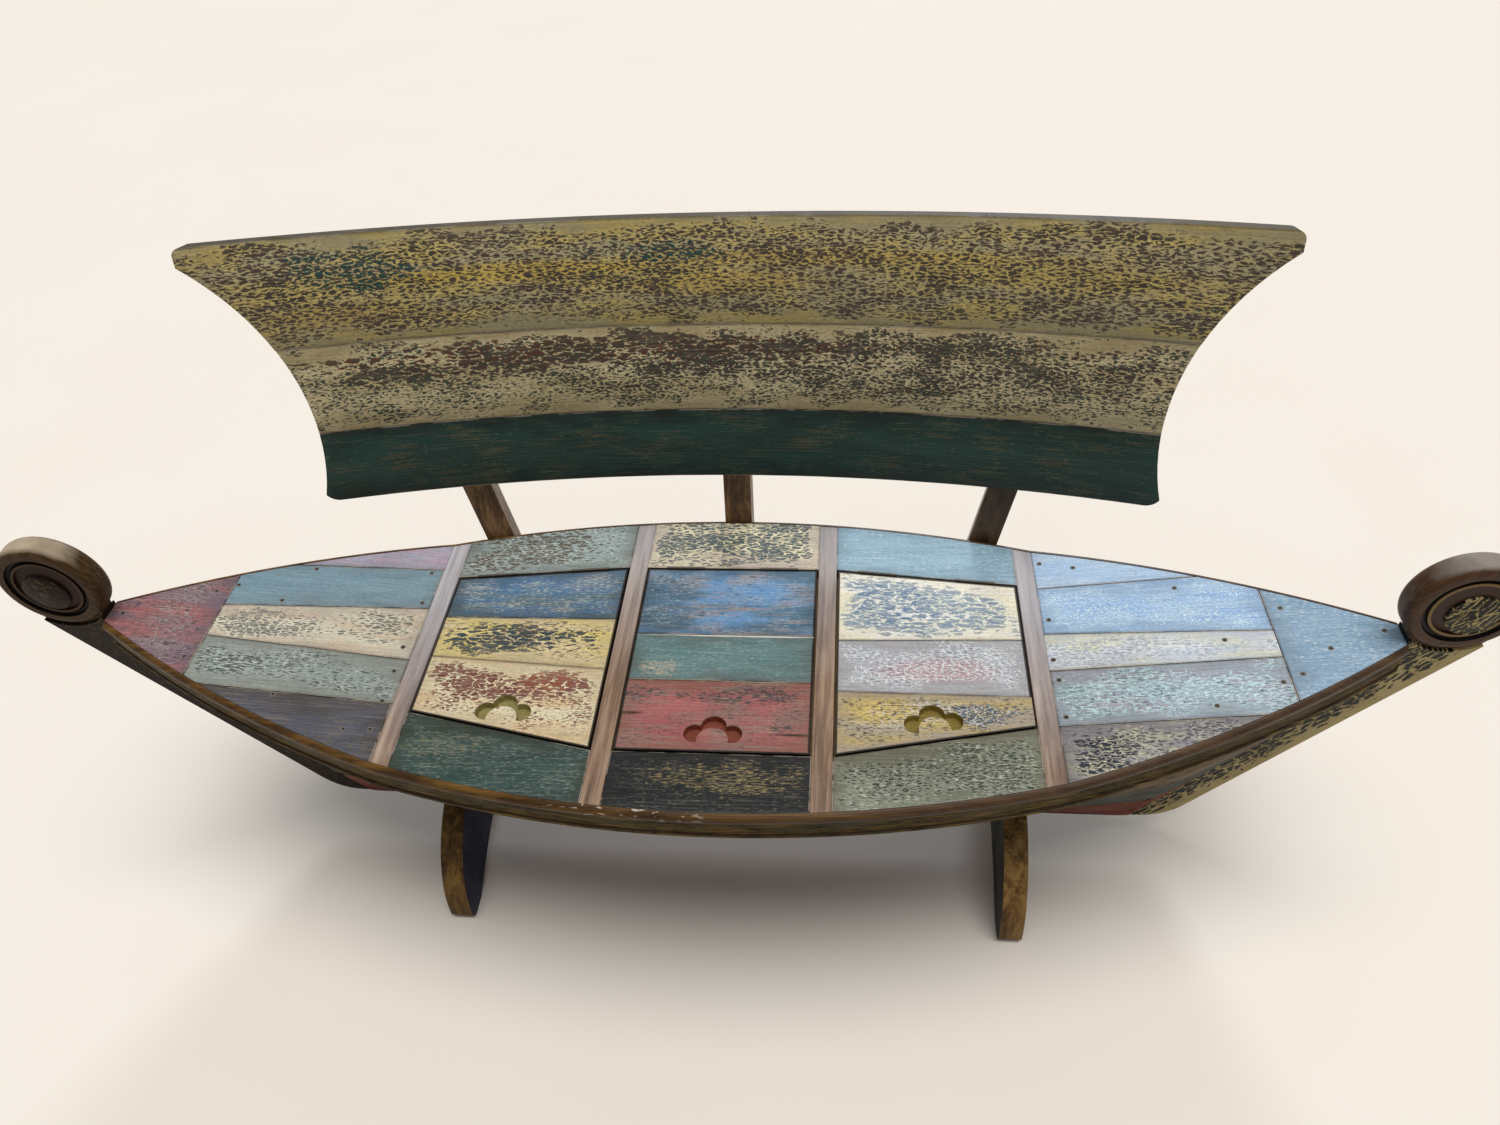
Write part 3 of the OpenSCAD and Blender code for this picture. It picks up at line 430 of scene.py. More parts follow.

# %% [markdown]
# ## The deck
# Every board was another boat's plank once, so each has its own coat, its own older coat
# below and its own wear. The boards at the rear and at the right end are painted paler and
# bluer, partly their own paint and partly a painted sheen of the window light on the
# varnish. A table keeps them together, the strips first, then the end decks and the lids,
# and one loop paints them.

# %% Deck colours
# Paler, bluer colours at the rear and the right end are partly a painted sheen of the window
# light
DECK = {
    "rear_strip_left": ("#9daba9", dict(tone="#8d9d9a", edge="#74716a", coats=(
        coat("flakes", "#615b4e", 0.95, 7, swing=0.6, stretch=3.6, at=(-0.30, 0, 0.8, 1.3)),
        coat("flakes", "#615b4e", 0.45, 4, stretch=3.4),
        coat("dashes", "#c5cfca", 0.45, 4)))),
    "rear_strip_middle": ("#ede1ba", dict(tone="#d6c9ab", edge="#a39595", coats=(
        coat("flakes", "#576363", 0.85, 5.5, swing=0.6, stretch=3.2),
        coat("dashes", "#576363", 0.5, 4, stretch=3.0)))),
    "rear_strip_right": ("#99bace", dict(tone="#8caec1", edge="#7b9099", edges=0.5, coats=(
        coat("dashes", "#b7d0dd", 0.5, 3.5, stretch=3.0),))),
    "front_strip_left": ("#39524d", dict(tone="#324945", edge="#3e3c2f", streaks=0.12, coats=(
        coat("dashes", "#79775d", 0.7, 3.5, at=(-0.5, 0.35, 0.45, 0.55)),
        coat("dashes", "#6a766f", 0.5, 3.5)))),
    "front_strip_middle": ("#202427", dict(tone="#1b2022", edge="#1d1c18", streaks=0.08, coats=(
        coat("dashes", "#8e7d53", 0.70, 3.6, swing=0.4, stretch=3.4,
             at=(0.12, 0.12, 0.85, 0.66)),
        coat("dashes", "#5d564a", 0.35, 3.5)))),
    "front_strip_right": ("#888d7c", dict(tone="#797e6c", edge="#675b49", coats=(
        coat("flakes", "#41483e", 0.75, 4, stretch=3.1, at=(0.0, 0.15, 1.1, 0.9)),
        coat("dashes", "#b4b9a6", 0.45, 3.5)))),
    "end_plank_left_1": ("#aca5b5", dict(tone="#b298aa", edge="#80888e", coats=(
        coat("dashes", "#8f9da4", 0.5, 4),))),
    "end_plank_left_2": ("#7c96a0", dict(tone="#75909d", edge="#737f84", streaks=0.3,
                         streak="#98a5ab")),
    "end_plank_left_3": ("#dad3bc", dict(tone="#d0bea5", edge="#a5988d", coats=(
        coat("flakes", "#73736c", 0.80, 4, stretch=2.8, at=(-0.55, 0.15, 0.6, 1.0)),
        coat("flakes", "#73736c", 0.60, 4, stretch=3.4, at=(0.6, 0.3, 0.5, 0.8))))),
    "end_plank_left_4": ("#9ba69f", dict(tone="#939e99", edge="#817f77", coats=(
        coat("flakes", "#4e5351", 0.75, 5, stretch=3.4, at=(-0.75, 0.2, 0.4, 0.9)),
        coat("flakes", "#60645f", 0.60, 4, stretch=3.1),
        coat("dashes", "#c4cbc4", 0.40, 4)))),
    "end_plank_left_5": ("#575864", dict(tone="#505157", edge="#52473d", coats=(
        coat("dashes", "#6b5e51", 0.5, 4),))),
    "tip_plank_left": ("#836a72", dict(tone="#9a6261", edge="#5d5760", coats=(
        coat("net", "#9a948e", 0.7, 4, at=(0.2, 0.1, 0.5, 0.9)),
        coat("dashes", "#52474d", 0.5, 4)))),
    # The right end's pale blue planks carry a painted sheen of the window light as well as
    # their paint
    "end_plank_right_1": ("#b0ccea", dict(tone="#c0d5ea", edge="#94abc3", edges=0.4)),
    "end_plank_right_2": ("#a6c4e2", dict(tone="#94b7e2", edge="#92a7ba", coats=(
        coat("net", "#d5e8ef", 0.6, 4),))),
    "end_plank_right_3": ("#d4dbe8", dict(tone="#e6e7cc", edge="#afb1b7", coats=(
        coat("flakes", "#a9b3bc", 0.7, 4, stretch=3.6),
        coat("dashes", "#efefef", 0.5, 4)))),
    "end_plank_right_4": ("#a3b6c1", dict(tone="#aaa8b8", edge="#898f93", coats=(
        coat("net", "#c5e1e4", 0.9, 5, swing=0.4, stretch=3.4),
        coat("dashes", "#758187", 0.5, 4, stretch=3.0)))),
    "end_plank_right_5": ("#b5b19b", dict(tone="#8e898e", edge="#696568", coats=(
        coat("flakes", "#272e3b", 1.0, 8, stretch=2.2, at=(-0.66, 0.0, 0.42, 1.0)),
        coat("dashes", "#d1ccb3", 0.5, 3.5, at=(-0.3, 0.0, 0.9, 1.2)),
        coat("flakes", "#56555b", 0.75, 4, stretch=3.4, at=(0.4, 0.3, 0.8, 1.2))))),
    "tip_plank_right": ("#90abc3", dict(tone="#84a4bc", edge="#7d8d9c", coats=(
        coat("dashes", "#b4c6d2", 0.55, 3.5, stretch=2.8),))),
    "lid_left_rear_plank": ("#5d737d", dict(tone="#51799d", edge="#485157", rub="#80746b",
                            rubs=0.3, coats=(
        coat("dashes", "#a3b1b1", 0.55, 3.5, stretch=3.1),), patches=(
        ((-0.86, 0.55, 0.16, 0.05), "#16181a", 0.9),
        ((0.1, 0.3, 0.8, 0.35), "#4d79a7", 0.45)))),
    "lid_left_mid_plank": ("#e9d57d", dict(tone="#e1ce9e", edge="#b4a387", coats=(
        coat("flakes", "#3b4b55", 1.0, 7, swing=0.45, stretch=3.6, at=(-0.1, 0.1, 0.95, 0.85)),
        coat("dashes", "#695942", 0.55, 4, stretch=3.0)))),
    "lid_left_front_plank": ("#e9e1be", dict(tone="#e7cea4", edge="#c1a986", coats=(
        coat("flakes", "#784841", 0.85, 6, swing=0.6, stretch=2.8, at=(0.0, 0.5, 1.0, 0.6)),
        coat("flakes", "#98553f", 0.85, 9, swing=0.6, stretch=2.1, at=(0.35, 0.48, 0.40, 0.32)),
        coat("flakes", "#8a6253", 0.50, 4, stretch=2.8),
        coat("dashes", "#8a6253", 0.45, 3.5)))),
    "lid_middle_rear_plank": ("#5d809a", dict(tone="#74a2d2", edge="#42555f", rub="#988989",
                              rubs=0.45, patches=(
        ((-0.75, 0.1, 0.35, 0.9), "#4a616f", 0.6),
        ((0.35, 0.3, 0.35, 0.35), "#71a4da", 0.6)), coats=(
        coat("dashes", "#96b2be", 0.45, 3.5),
        coat("dashes", "#304351", 0.25, 4, stretch=5.0)))),
    "lid_middle_mid_plank": ("#628383", dict(tone="#6a8a8a", edge="#5f5c59", coats=(
        coat("dashes", "#b9ac97", 0.85, 3.8, at=(-0.72, -0.5, 0.30, 0.42)),
        coat("dashes", "#86a1a8", 0.45, 3.5, stretch=3.0)),
        chips=((0.1, 1.0, 0.95, 0.07), "#dddad6"))),
    "lid_middle_front_plank": ("#aa6363", dict(tone="#b46c6a", rub="#8c736a", rubs=0.6,
                               edge="#7c5c4b", coats=(
        coat("dashes", "#3c4447", 0.8, 4, at=(-0.80, 0.62, 0.24, 0.38)),
        coat("dashes", "#3c4447", 0.8, 4, stretch=3.0, at=(0.12, 0.58, 0.60, 0.28)),
        coat("net", "#3c4447", 0.9, 4, stretch=2.2, at=(0.72, 0.66, 0.24, 0.32)),
        coat("dashes", "#454946", 0.8, 3.5, at=(0.68, -0.38, 0.2, 0.2)),
        coat("dashes", "#6a514a", 0.35, 4, stretch=3.0)),
        patches=(((-0.92, 0.02, 0.14, 0.055), "#3c1512", 1.0),
                 ((0.86, -0.50, 0.26, 0.045), "#2d100e", 1.0)))),
    "lid_right_rear_plank": ("#efefef", dict(tone="#efefde", edge="#efe1bc", plain=0.020,
                             streaks=0.1, coats=(
        coat("flakes", "#8e9fb1", 0.95, 8, swing=0.5, stretch=3.9),
        coat("flakes", "#718ba8", 0.75, 9, stretch=3.0, at=(-0.4, 0.1, 0.6, 0.8)),
        coat("dashes", "#efefd7", 0.45, 3.5)))),
    "lid_right_mid_plank": ("#bcbec9", dict(tone="#b5b7c4", edge="#a6a29c", patches=(
        ((0.0, -0.15, 0.55, 0.45), "#c7959c", 0.7),), coats=(
        coat("net", "#e9efef", 0.85, 4.2, swing=0.4),
        coat("dashes", "#8e8a92", 0.45, 3.5)))),
    "lid_right_front_plank": ("#b9ae97", dict(tone="#d2ba72", edge="#99897f", patches=(
        ((-0.55, 0.45, 0.40, 0.35), "#e0c157", 0.7),
        ((0.4, -0.65, 0.9, 0.25), "#9f908f", 0.8)), coats=(
        coat("dashes", "#6a5b46", 0.65, 3.8, stretch=2.8),
        coat("flakes", "#475869", 0.9, 4.5, stretch=2.8, at=(0.42, 0.40, 0.30, 0.45)),
        coat("flakes", "#475869", 0.8, 4.5, stretch=2.8, at=(0.86, 0.45, 0.16, 0.45)),
        coat("net", "#e0ded7", 0.55, 4, at=(0.2, 0.4, 0.9, 0.6))))),
}
PULL = {"lid_left_front_plank": "#90854e", "lid_middle_front_plank": "#7c3c29",
        "lid_right_front_plank": "#85722e"}
for number, (node, (paint, look)) in enumerate(DECK.items()):
    if node in PULL:
        look = dict(look, sunk=PULL[node])
    if node.startswith("lid"):
        look = dict(look, gap=1 if "rear" in node else -1 if "front" in node else 0)
    painted_wood(node, paint, seed=number + 1.0, **look)
print("deck boards painted", len(DECK))

# %% [markdown]
# ## The hull and the back
# The same paint covers them. The hull's boards stand on edge, so their coordinates are
# turned by a quarter, and those of the back follow its slope. The strakes are bent, so their
# edges aren't straight lines, and they go without the glaze along the joints.

# %% Hull and back colours
HULL = {
    "bottom_plank": ("#8a3a1e", dict(tone="#702e18", coats=(
        coat("flakes", "#3a1a12", 0.35, 8, stretch=3.0),))),
    "side_strake": ("#454a3e", dict(tone="#393d33", coats=(
        coat("flakes", "#262e2a", 0.55, 8, stretch=3.4),))),
    "upper_strake": ("#765a35", dict(tone="#5a4627", coats=(
        coat("flakes", "#2b2a1a", 0.50, 7, stretch=4.0),))),
    "sheer_strake": ("#635133", dict(tone="#504932",
                     streak="#b08a3a", streaks=0.55, coats=(
        coat("dashes", "#2a2416", 0.55, 5, stretch=6.0),))),
}
HULL_STREAK = dict(streak="#8a7048", streaks=0.10)
for number, (kind, (paint, look)) in enumerate(HULL.items()):
    for side, facing in (("front", 1), ("rear", -1)):
        node = kind + "_" + side
        painted_wood(node, paint, seed=20.0 + number + facing,
                     turn=SIDE, facing=facing, gloss=0.55, shine=0.12, varnish=0.0,
                     deep=(0, 0), joints=False, sawn="#33231a", **dict(HULL_STREAK, **look))
BACKREST = {
    "back_plank_top": ("#cbbe91", dict(tone="#e4cc7e", edge="#847758", edges=0.45, patches=(
        ((-0.42, 0.10, 0.34, 0.16), "#ecca58", 0.75),
        ((0.22, 0.25, 0.40, 0.14), "#e8c862", 0.65),
        ((-0.02, -0.20, 0.16, 0.22), "#e9c65c", 0.65),
        ((0.62, 0.0, 0.28, 0.20), "#e2c468", 0.55),
        ((-0.74, -0.45, 0.14, 0.20), "#d8b658", 0.6)), coats=(
        coat("flakes", "#655047", 0.72, 5, swing=0.35, second="#4f4840", stretch=2.8),
        coat("dashes", "#55493e", 0.62, 4, swing=0.4, stretch=3.1),
        coat("flakes", "#2b4f4b", 0.75, 5.5, swing=0.6, stretch=2.2,
             at=(-0.70, 0.30, 0.12, 0.45)),
        coat("flakes", "#2b4f4b", 0.70, 5.5, swing=0.6, stretch=2.5,
             at=(-0.12, 0.40, 0.12, 0.22))))),
    "back_plank_middle": ("#d1bf8f", dict(tone="#e1d0a3", edge="#7e6c4d", edges=0.45, patches=(
        ((-0.10, 0.0, 0.25, 0.22), "#efe2b1", 0.7), ((0.30, 0.0, 0.3, 0.3), "#e7daaf", 0.5)),
        coats=(
        coat("flakes", "#5a4137", 0.92, 8, swing=0.4, second="#67392b",
             stretch=3.4, at=(-0.30, 0.50, 0.75, 0.50)),
        coat("flakes", "#523c34", 0.80, 5, swing=0.5, stretch=2.5, at=(0.35, 0.2, 0.8, 0.9)),
        coat("flakes", "#434f44", 0.62, 4.2, swing=0.6, stretch=2.4),
        coat("dashes", "#4c4234", 0.50, 4, stretch=3.6)))),
    "back_plank_bottom": ("#1b3831", dict(tone="#1f423c", edge="#1d1a15", rub="#4a4732",
                          rubs=0.1, streak="#5c6c54", streaks=0.10, coats=(
        coat("dashes", "#4e5c4b", 0.25, 4, stretch=3.0),))),
}
for number, (node, (paint, look)) in enumerate(BACKREST.items()):
    painted_wood(node, paint, seed=30.0 + number, turn=BACK,
                 deep=(0, 0), sawn="#2a231a", reverse=None, **look)
print("hull and back boards painted", 2 * len(HULL) + len(BACKREST))

# %% [markdown]
# ## Bare and varnished wood
# The frames, the rim, the posts, the legs and the keel are solid hardwood, planed, stained
# and varnished. Two noises stretched along the grain give the fibres and the broader
# figure. The third coordinate keeps its own scale, so that end grain shows as dots.

# %% Varnished hardwood
# Noise cells to the metre, along the grain and both ways across it: fibres 140 mm long and
# 4 mm wide, split finer by the detail, figure of 200 by 17 mm and chips of 14 by 7 by 4 mm
FIBRE, FIGURE, CHIPS = (7, 260, 260), (5, 60, 60), (70, 140, 260)
# Width in metres of the patches where the varnish is worn
WORN_PATCH = 0.07


def varnished_wood(name, nodes_in_it, shades, grain, gloss=0.42, cheek=None, far=None,
                   shine=0.3, chips=None):
    dark, base, light = shades
    material, tree = fresh(name)
    place = add(tree, "TexCoord")
    turned = add(tree, "Mapping", {"Vector": place.outputs["Object"], "Rotation": grain})
    fibre = add(tree, "TexNoise", {"Vector": add(tree, "VectorMath",
                {0: turned, 1: FIBRE}, operation="MULTIPLY"), "Scale": 1.0,
                "Detail": 3.0, "Roughness": 0.6})
    figure = add(tree, "TexNoise", {"Vector": add(tree, "VectorMath",
                 {0: turned, 1: FIGURE}, operation="MULTIPLY"), "Scale": 1.0,
                 "Detail": 4.0, "Roughness": 0.55, "Distortion": 0.6})
    worn = add(tree, "TexNoise", {"Vector": place.outputs["Object"],
               "Scale": 1 / WORN_PATCH, "Detail": 4.0, "Roughness": 0.7})
    grain_mix = add(tree, "Math", {0: fibre.outputs["Fac"], 1: 0.5,
                    2: figure.outputs["Fac"]}, operation="MULTIPLY_ADD")
    lower = add(tree, "MapRange", {"Value": grain_mix, "From Min": 0.55, "From Max": 0.78})
    upper = add(tree, "MapRange", {"Value": grain_mix, "From Min": 0.74, "From Max": 0.95})
    patches = add(tree, "MapRange", {"Value": worn.outputs["Fac"],
                  "From Min": 0.52, "From Max": 0.74, "To Max": 0.35})
    layers = [(lower, base), (upper, light), (patches, light)]
    across = add(tree, "SeparateXYZ", {0: place.outputs["Object"]})
    if cheek:
        turned_face = add(tree, "SeparateXYZ", {0: place.outputs["Normal"]})
        side_on = add(tree, "MapRange", {"Value": add(tree, "Math",
                      {0: turned_face.outputs[0]}, operation="ABSOLUTE"),
                      "From Min": 0.6, "From Max": 0.8})
        scraped = add(tree, "MapRange", {"Value": fibre.outputs["Fac"],
                      "From Min": 0.6, "From Max": 0.75, "To Max": 0.5})
        sides = add(tree, "Mix", {"Factor": scraped, "A": linear(cheek[0]),
                   "B": linear(cheek[1])}, data_type="RGBA")
        layers.append((side_on, sides))
    # Another colour takes over towards one end along an axis. On the frames it is lighter and
    # greyer towards the rear, a painted sheen of the window light; on the rim and the posts it
    # is a different shade of the wood towards one end
    if far:
        axis, start, end, far_colour, most = far
        drift = add(tree, "Math", {0: worn.outputs["Fac"], 1: 0.3 * (end - start),
                    2: across.outputs[axis]}, operation="MULTIPLY_ADD")
        other_end = add(tree, "MapRange", {"Value": drift, "From Min": start,
                        "From Max": end, "To Max": most})
        grainy = add(tree, "VectorMath", {0: linear(far_colour)[:3], 1: add(
            tree, "MapRange", {"Value": grain_mix, "From Min": 0.5, "From Max": 1.0,
                                         "To Min": 0.72, "To Max": 1.3})},
            operation="MULTIPLY")
        layers.append((other_end, grainy))
    if chips:
        # Varnish knocked off along one stretch of an edge
        middle, half, tint = chips
        along = add(tree, "Math", {0: across.outputs[0], 1: middle}, operation="SUBTRACT")
        along = add(tree, "Math", {0: along}, operation="ABSOLUTE")
        along = add(tree, "MapRange", {"Value": along, "From Min": half,
                    "From Max": half * 0.5})
        specks = add(tree, "TexNoise", {"Vector": add(tree, "VectorMath", {
            0: place.outputs["Object"], 1: CHIPS}, operation="MULTIPLY"),
            "Scale": 1.0, "Detail": 3.0})
        specks = add(tree, "MapRange", {"Value": specks.outputs["Fac"],
                     "From Min": 0.60, "From Max": 0.64, "To Max": 0.8})
        layers.append((add(tree, "Math", {0: specks, 1: along}, operation="MULTIPLY"), tint))
    bump = add(tree, "Bump", {"Height": fibre.outputs["Fac"], "Strength": 0.4,
               "Distance": 0.0005})
    dull = add(tree, "MapRange", {"Value": worn.outputs["Fac"], "From Min": 0.3,
               "From Max": 0.7, "To Min": gloss - 0.08, "To Max": gloss + 0.15})
    skin = add(tree, "BsdfPrincipled", {
        "Base Color": lay_coats(tree, dark, layers), "Roughness": dull, "Normal": bump,
        "IOR": 1.5, "Specular IOR Level": shine, "Coat Weight": shine * 0.4,
        "Coat Roughness": 0.25})
    add(tree, "OutputMaterial", {"Surface": skin})
    finish_nodes(material, nodes_in_it)


ALONG_X = (0.0, 0.0, 0.0)
ALONG_Y = (0.0, 0.0, -math.radians(90))
ALONG_Z = (0.0, math.radians(90), 0.0)
# The frames turn lighter and greyer towards the rear, a painted sheen of the window light
varnished_wood("varnished_inner_frame_wood", ["frames_inner"],
               ("#6c5747", "#987b66", "#b69c82"), ALONG_Y,
               far=(1, -0.10, 0.20, "#aba8ac", 0.75))
varnished_wood("varnished_outer_frame_wood", ["frames_outer"],
               ("#735d4f", "#9d836f", "#bfa68e"), ALONG_Y,
               far=(1, -0.24, 0.06, "#bcb9bf", 0.85))
varnished_wood("varnished_rim_wood", ["nosing_front", "nosing_rear"],
               ("#33200d", "#563914", "#785824"), ALONG_X, far=(0, -0.1, 0.5, "#4e3a2b", 0.8),
               shine=0.2, chips=(-0.10, 0.12, "#cfc6b4"))
varnished_wood("varnished_keel_wood", ["keel"], ("#2c1d12", "#4b3524", "#6a4f36"), ALONG_X,
               shine=0.2)
varnished_wood("varnished_post_wood", ["post_left", "post_middle", "post_right"],
               ("#4c3829", "#7f5e40", "#a67f58"), ALONG_Z,
               far=(0, 0.15, 0.45, "#44352a", 0.75))
varnished_wood("planed_deal", ["deck_ledges", "lid_left_cleats", "lid_middle_cleats",
               "lid_right_cleats"], ("#7a5c38", "#9a7b52", "#b89a6c"), ALONG_Y, gloss=0.55)
varnished_wood("varnished_leg_wood_left", ["leg_front_left", "leg_rear_left"],
               ("#38250f", "#6a4a1f", "#8a6a34"), ALONG_Z, gloss=0.55, shine=0.2,
               cheek=("#171f38", "#3a4055"))
varnished_wood("varnished_leg_wood_right", ["leg_front_right", "leg_rear_right"],
               ("#503a22", "#8e6937", "#b08c52"), ALONG_Z, gloss=0.55, shine=0.2,
               cheek=("#161d18", "#5a5a48"))
print("varnished wood on", sum(1 for s in solids.values() if s.data.materials
                               and s.data.materials[0].name.startswith("varnished")))

# %% [markdown]
# ## Stems and scrolls
# Each stem is one thick board that ends in a carved scroll: a rolled band, a ring groove,
# and an eye in a hollow crescent. Paint is left on the flat faces, while the carving has
# been worn down to brown wood. The ring groove is painted near black, a painted shadow,
# and the band's upper side pale, a painted sheen. Distances from the scroll's middle tell
# the material which zone a point is in.

# %% Stem paint
# The scroll's middle, outwards and up from the deck's tip, and the eye's, off it by 14 mm
TIP_X, SCROLL_OUT, SCROLL_UP = 0.92559, 0.053, 0.067
EYE_OFF, EYE_ANGLE = 0.014, math.radians(52)
scroll_at = (TIP_X + SCROLL_OUT, deck_height(TIP_X) + SCROLL_UP)
eye_at = (scroll_at[0] + EYE_OFF * math.cos(EYE_ANGLE),
          scroll_at[1] - EYE_OFF * math.sin(EYE_ANGLE))
# Rake of the stem, and its outer edge's distance from the scroll's middle
RAKE, EDGE_OFF = math.radians(53.65), 0.0745
# Radii of the band's inner edge, the ring groove, the crescent, the eye and the whole scroll
BAND_IN, GROOVE_IN, CRESCENT, EYE, SCROLL = 0.058, 0.0500, 0.0460, 0.0343, 0.0785
# Noise cells to the metre: blotches of 70 mm, and fibres 100 mm long and 4 mm wide
STEM_BLOTCH, STEM_FIBRE = 14.0, (10, 280, 280)


def stem_paint(name, node, side, shades, coats, band, crescent, glow, shine):
    material, tree = fresh(name)
    place = add(tree, "TexCoord")
    turned = add(tree, "Mapping", {"Vector": place.outputs["Object"],
                 "Rotation": (-math.radians(90), 0, -RAKE if side > 0 else RAKE - math.pi)})
    slow = add(tree, "TexNoise", {"Vector": turned, "Scale": STEM_BLOTCH,
               "Detail": 3.0, "Roughness": 0.6})
    fibre = add(tree, "TexNoise", {"Vector": add(tree, "VectorMath",
                {0: turned, 1: STEM_FIBRE}, operation="MULTIPLY"), "Scale": 1.0,
                "Detail": 3.0})
    # Distance from the stem's outer edge, which stays plain for some 12 mm
    run = math.sin(RAKE) * scroll_at[0] - math.cos(RAKE) * scroll_at[1] + EDGE_OFF
    in_plane = add(tree, "SeparateXYZ", {0: turned})
    inward = add(tree, "Math", {0: in_plane.outputs[1], 1: side, 2: run},
                 operation="MULTIPLY_ADD")
    inside = add(tree, "MapRange", {"Value": add(tree, "Math", {
        0: slow.outputs["Fac"], 1: 0.03, 2: inward}, operation="MULTIPLY_ADD"),
        "From Min": 0.020, "From Max": 0.034})
    soft = add(tree, "MapRange", {"Value": slow.outputs["Fac"], "From Min": 0.4,
               "From Max": 0.6})
    layers = [(soft, shades[1])]
    for wear in coats:
        layers.append((worn_coat(tree, turned, slow.outputs["Fac"], inside, wear),
                       wear["paint"]))
    paint = lay_coats(tree, shades[0], layers)
    # Distances from the scroll's middle and from the eye's
    reach = []
    for x, z in (scroll_at, eye_at):
        away = add(tree, "VectorMath", {0: place.outputs["Object"],
                   1: (side * x, 0, z)}, operation="SUBTRACT")
        away = add(tree, "VectorMath", {0: away, 1: (1, 0, 1)}, operation="MULTIPLY")
        away = add(tree, "VectorMath", {0: away}, operation="LENGTH")
        reach.append(away.outputs["Value"])
    radius, eye = reach
    streaky = add(tree, "MapRange", {"Value": fibre.outputs["Fac"],
                  "From Min": 0.35, "From Max": 0.7})
    # The band's upper side is painted pale where it faces up, a painted sheen of the light from
    # above
    up = add(tree, "SeparateXYZ", {0: place.outputs["Normal"]})
    top_sheen = add(tree, "Math", {0: slow.outputs["Fac"], 1: 0.8,
                 2: up.outputs[2]}, operation="MULTIPLY_ADD")
    top_sheen = add(tree, "MapRange", {"Value": top_sheen, "From Min": 0.95,
                 "From Max": 1.4, "To Max": 0.85})
    # glow is the colour of that painted sheen
    layers = [(streaky, band[1]), (top_sheen, glow)]
    # By radius: the ring groove is painted near black, a painted shadow in it, then the tan
    # ridge, the crescent, the eye, and the stem's paint beyond the scroll
    for away, test, limit, shade in (
            (radius, "LESS_THAN", BAND_IN, "#120c08"),
            (radius, "LESS_THAN", GROOVE_IN, band[2]),
            (radius, "LESS_THAN", CRESCENT, crescent),
            (eye, "LESS_THAN", EYE, paint), (radius, "GREATER_THAN", SCROLL, paint)):
        layers.append((add(tree, "Math", {0: away, 1: limit}, operation=test), shade))
    bump = add(tree, "Bump", {"Height": fibre.outputs["Fac"], "Strength": 0.5,
               "Distance": 0.0005})
    skin = add(tree, "BsdfPrincipled", {
        "Base Color": lay_coats(tree, band[0], layers), "Roughness": 0.48, "Normal": bump,
        "IOR": 1.5, "Specular IOR Level": shine, "Coat Weight": shine * 0.25,
        "Coat Roughness": 0.25})
    add(tree, "OutputMaterial", {"Surface": skin})
    finish_nodes(material, [node])


# In each call the colour after the crescent's is the painted sheen on the band's upper side
stem_paint("oil_paint_stem_right", "stem_right", 1, ("#d9c58c", "#c4ae72"), (
    coat("flakes", "#14170f", 0.92, 8, swing=0.4, stretch=3.2),
    coat("dashes", "#2b2c1e", 0.45, 4, swing=0.3, stretch=4.0)),
           ("#432d1c", "#60432a", "#94794a"), "#42271a", "#9a9188", 0.22)
# The left stem is painted dark brown, partly its own paint and partly a painted shade on it
stem_paint("oil_paint_stem_left", "stem_left", -1, ("#2c1c10", "#20150b"), (
    coat("flakes", "#15110d", 0.7, 6, stretch=3.0),
    coat("dashes", "#6e5a38", 0.40, 5, swing=0.3, stretch=3.0)),
           ("#3c2a18", "#624a30", "#4a341e"), "#30180f", "#c8b69c", 0.10)
print("scroll", [round(v, 3) for v in scroll_at], "eye", [round(v, 3) for v in eye_at])

# %% [markdown]
# ## Hinges
# The butt hinges are rolled mild steel, gone dull and dark. Steel is a metal, so its colour
# tints the reflection and it keeps the default IOR. Fine noise varies the roughness.

# %% Dull steel
steel, tree = fresh("rolled_steel")
place = add(tree, "TexCoord")
tarnish = add(tree, "TexNoise", {"Vector": place.outputs["Object"],
              "Scale": 1 / 0.004, "Detail": 4.0})
tint = add(tree, "Mix", {"Factor": tarnish.outputs["Fac"], "A": linear("#3a3632"),
           "B": linear("#6d665c")}, data_type="RGBA")
dull = add(tree, "MapRange", {"Value": tarnish.outputs["Fac"], "To Min": 0.35,
           "To Max": 0.65})
skin = add(tree, "BsdfPrincipled", {"Base Color": tint, "Roughness": dull,
           "Metallic": 1.0})
add(tree, "OutputMaterial", {"Surface": skin})
finish_nodes(steel, ["hinge_leaves_fixed", "lid_left_hinges", "lid_middle_hinges",
                     "lid_right_hinges"])
bare = [n for n, s in solids.items() if not (s.data.materials and s.data.materials[0]
        and s.data.materials[0].use_nodes)]
print("solids without a finish", bare)

# %% [markdown]
# ## Nail plugs
# The end decks are nailed to their ledges. Each nail head sits in a shallow pit of dark
# filler with a paler, worn ring. A lathe profile turned about Z makes one, and one mesh
# holds all the plugs of a deck, each set on the slope of that deck.

# %% Turn the plugs
# For each finish: size of its blotches in metres, its two shades and its roughness
PLUG_FINISH = {"worn_filler": (0.003, "#5a544a", "#958e80", 0.6),
               "old_pitch": (0.002, "#17110c", "#3a2c1e", 0.45)}
putties = []
for name, (blotch, dark, light, rough) in PLUG_FINISH.items():
    putty, tree = fresh(name)
    place = add(tree, "TexCoord")
    mottle = add(tree, "TexNoise", {"Vector": place.outputs["Object"],
                 "Scale": 1 / blotch, "Detail": 3.0})
    tint = add(tree, "Mix", {"Factor": mottle.outputs["Fac"],
               "A": linear(dark), "B": linear(light)}, data_type="RGBA")
    skin = add(tree, "BsdfPrincipled", {"Base Color": tint, "Roughness": rough})
    add(tree, "OutputMaterial", {"Surface": skin})
    putties.append(putty)

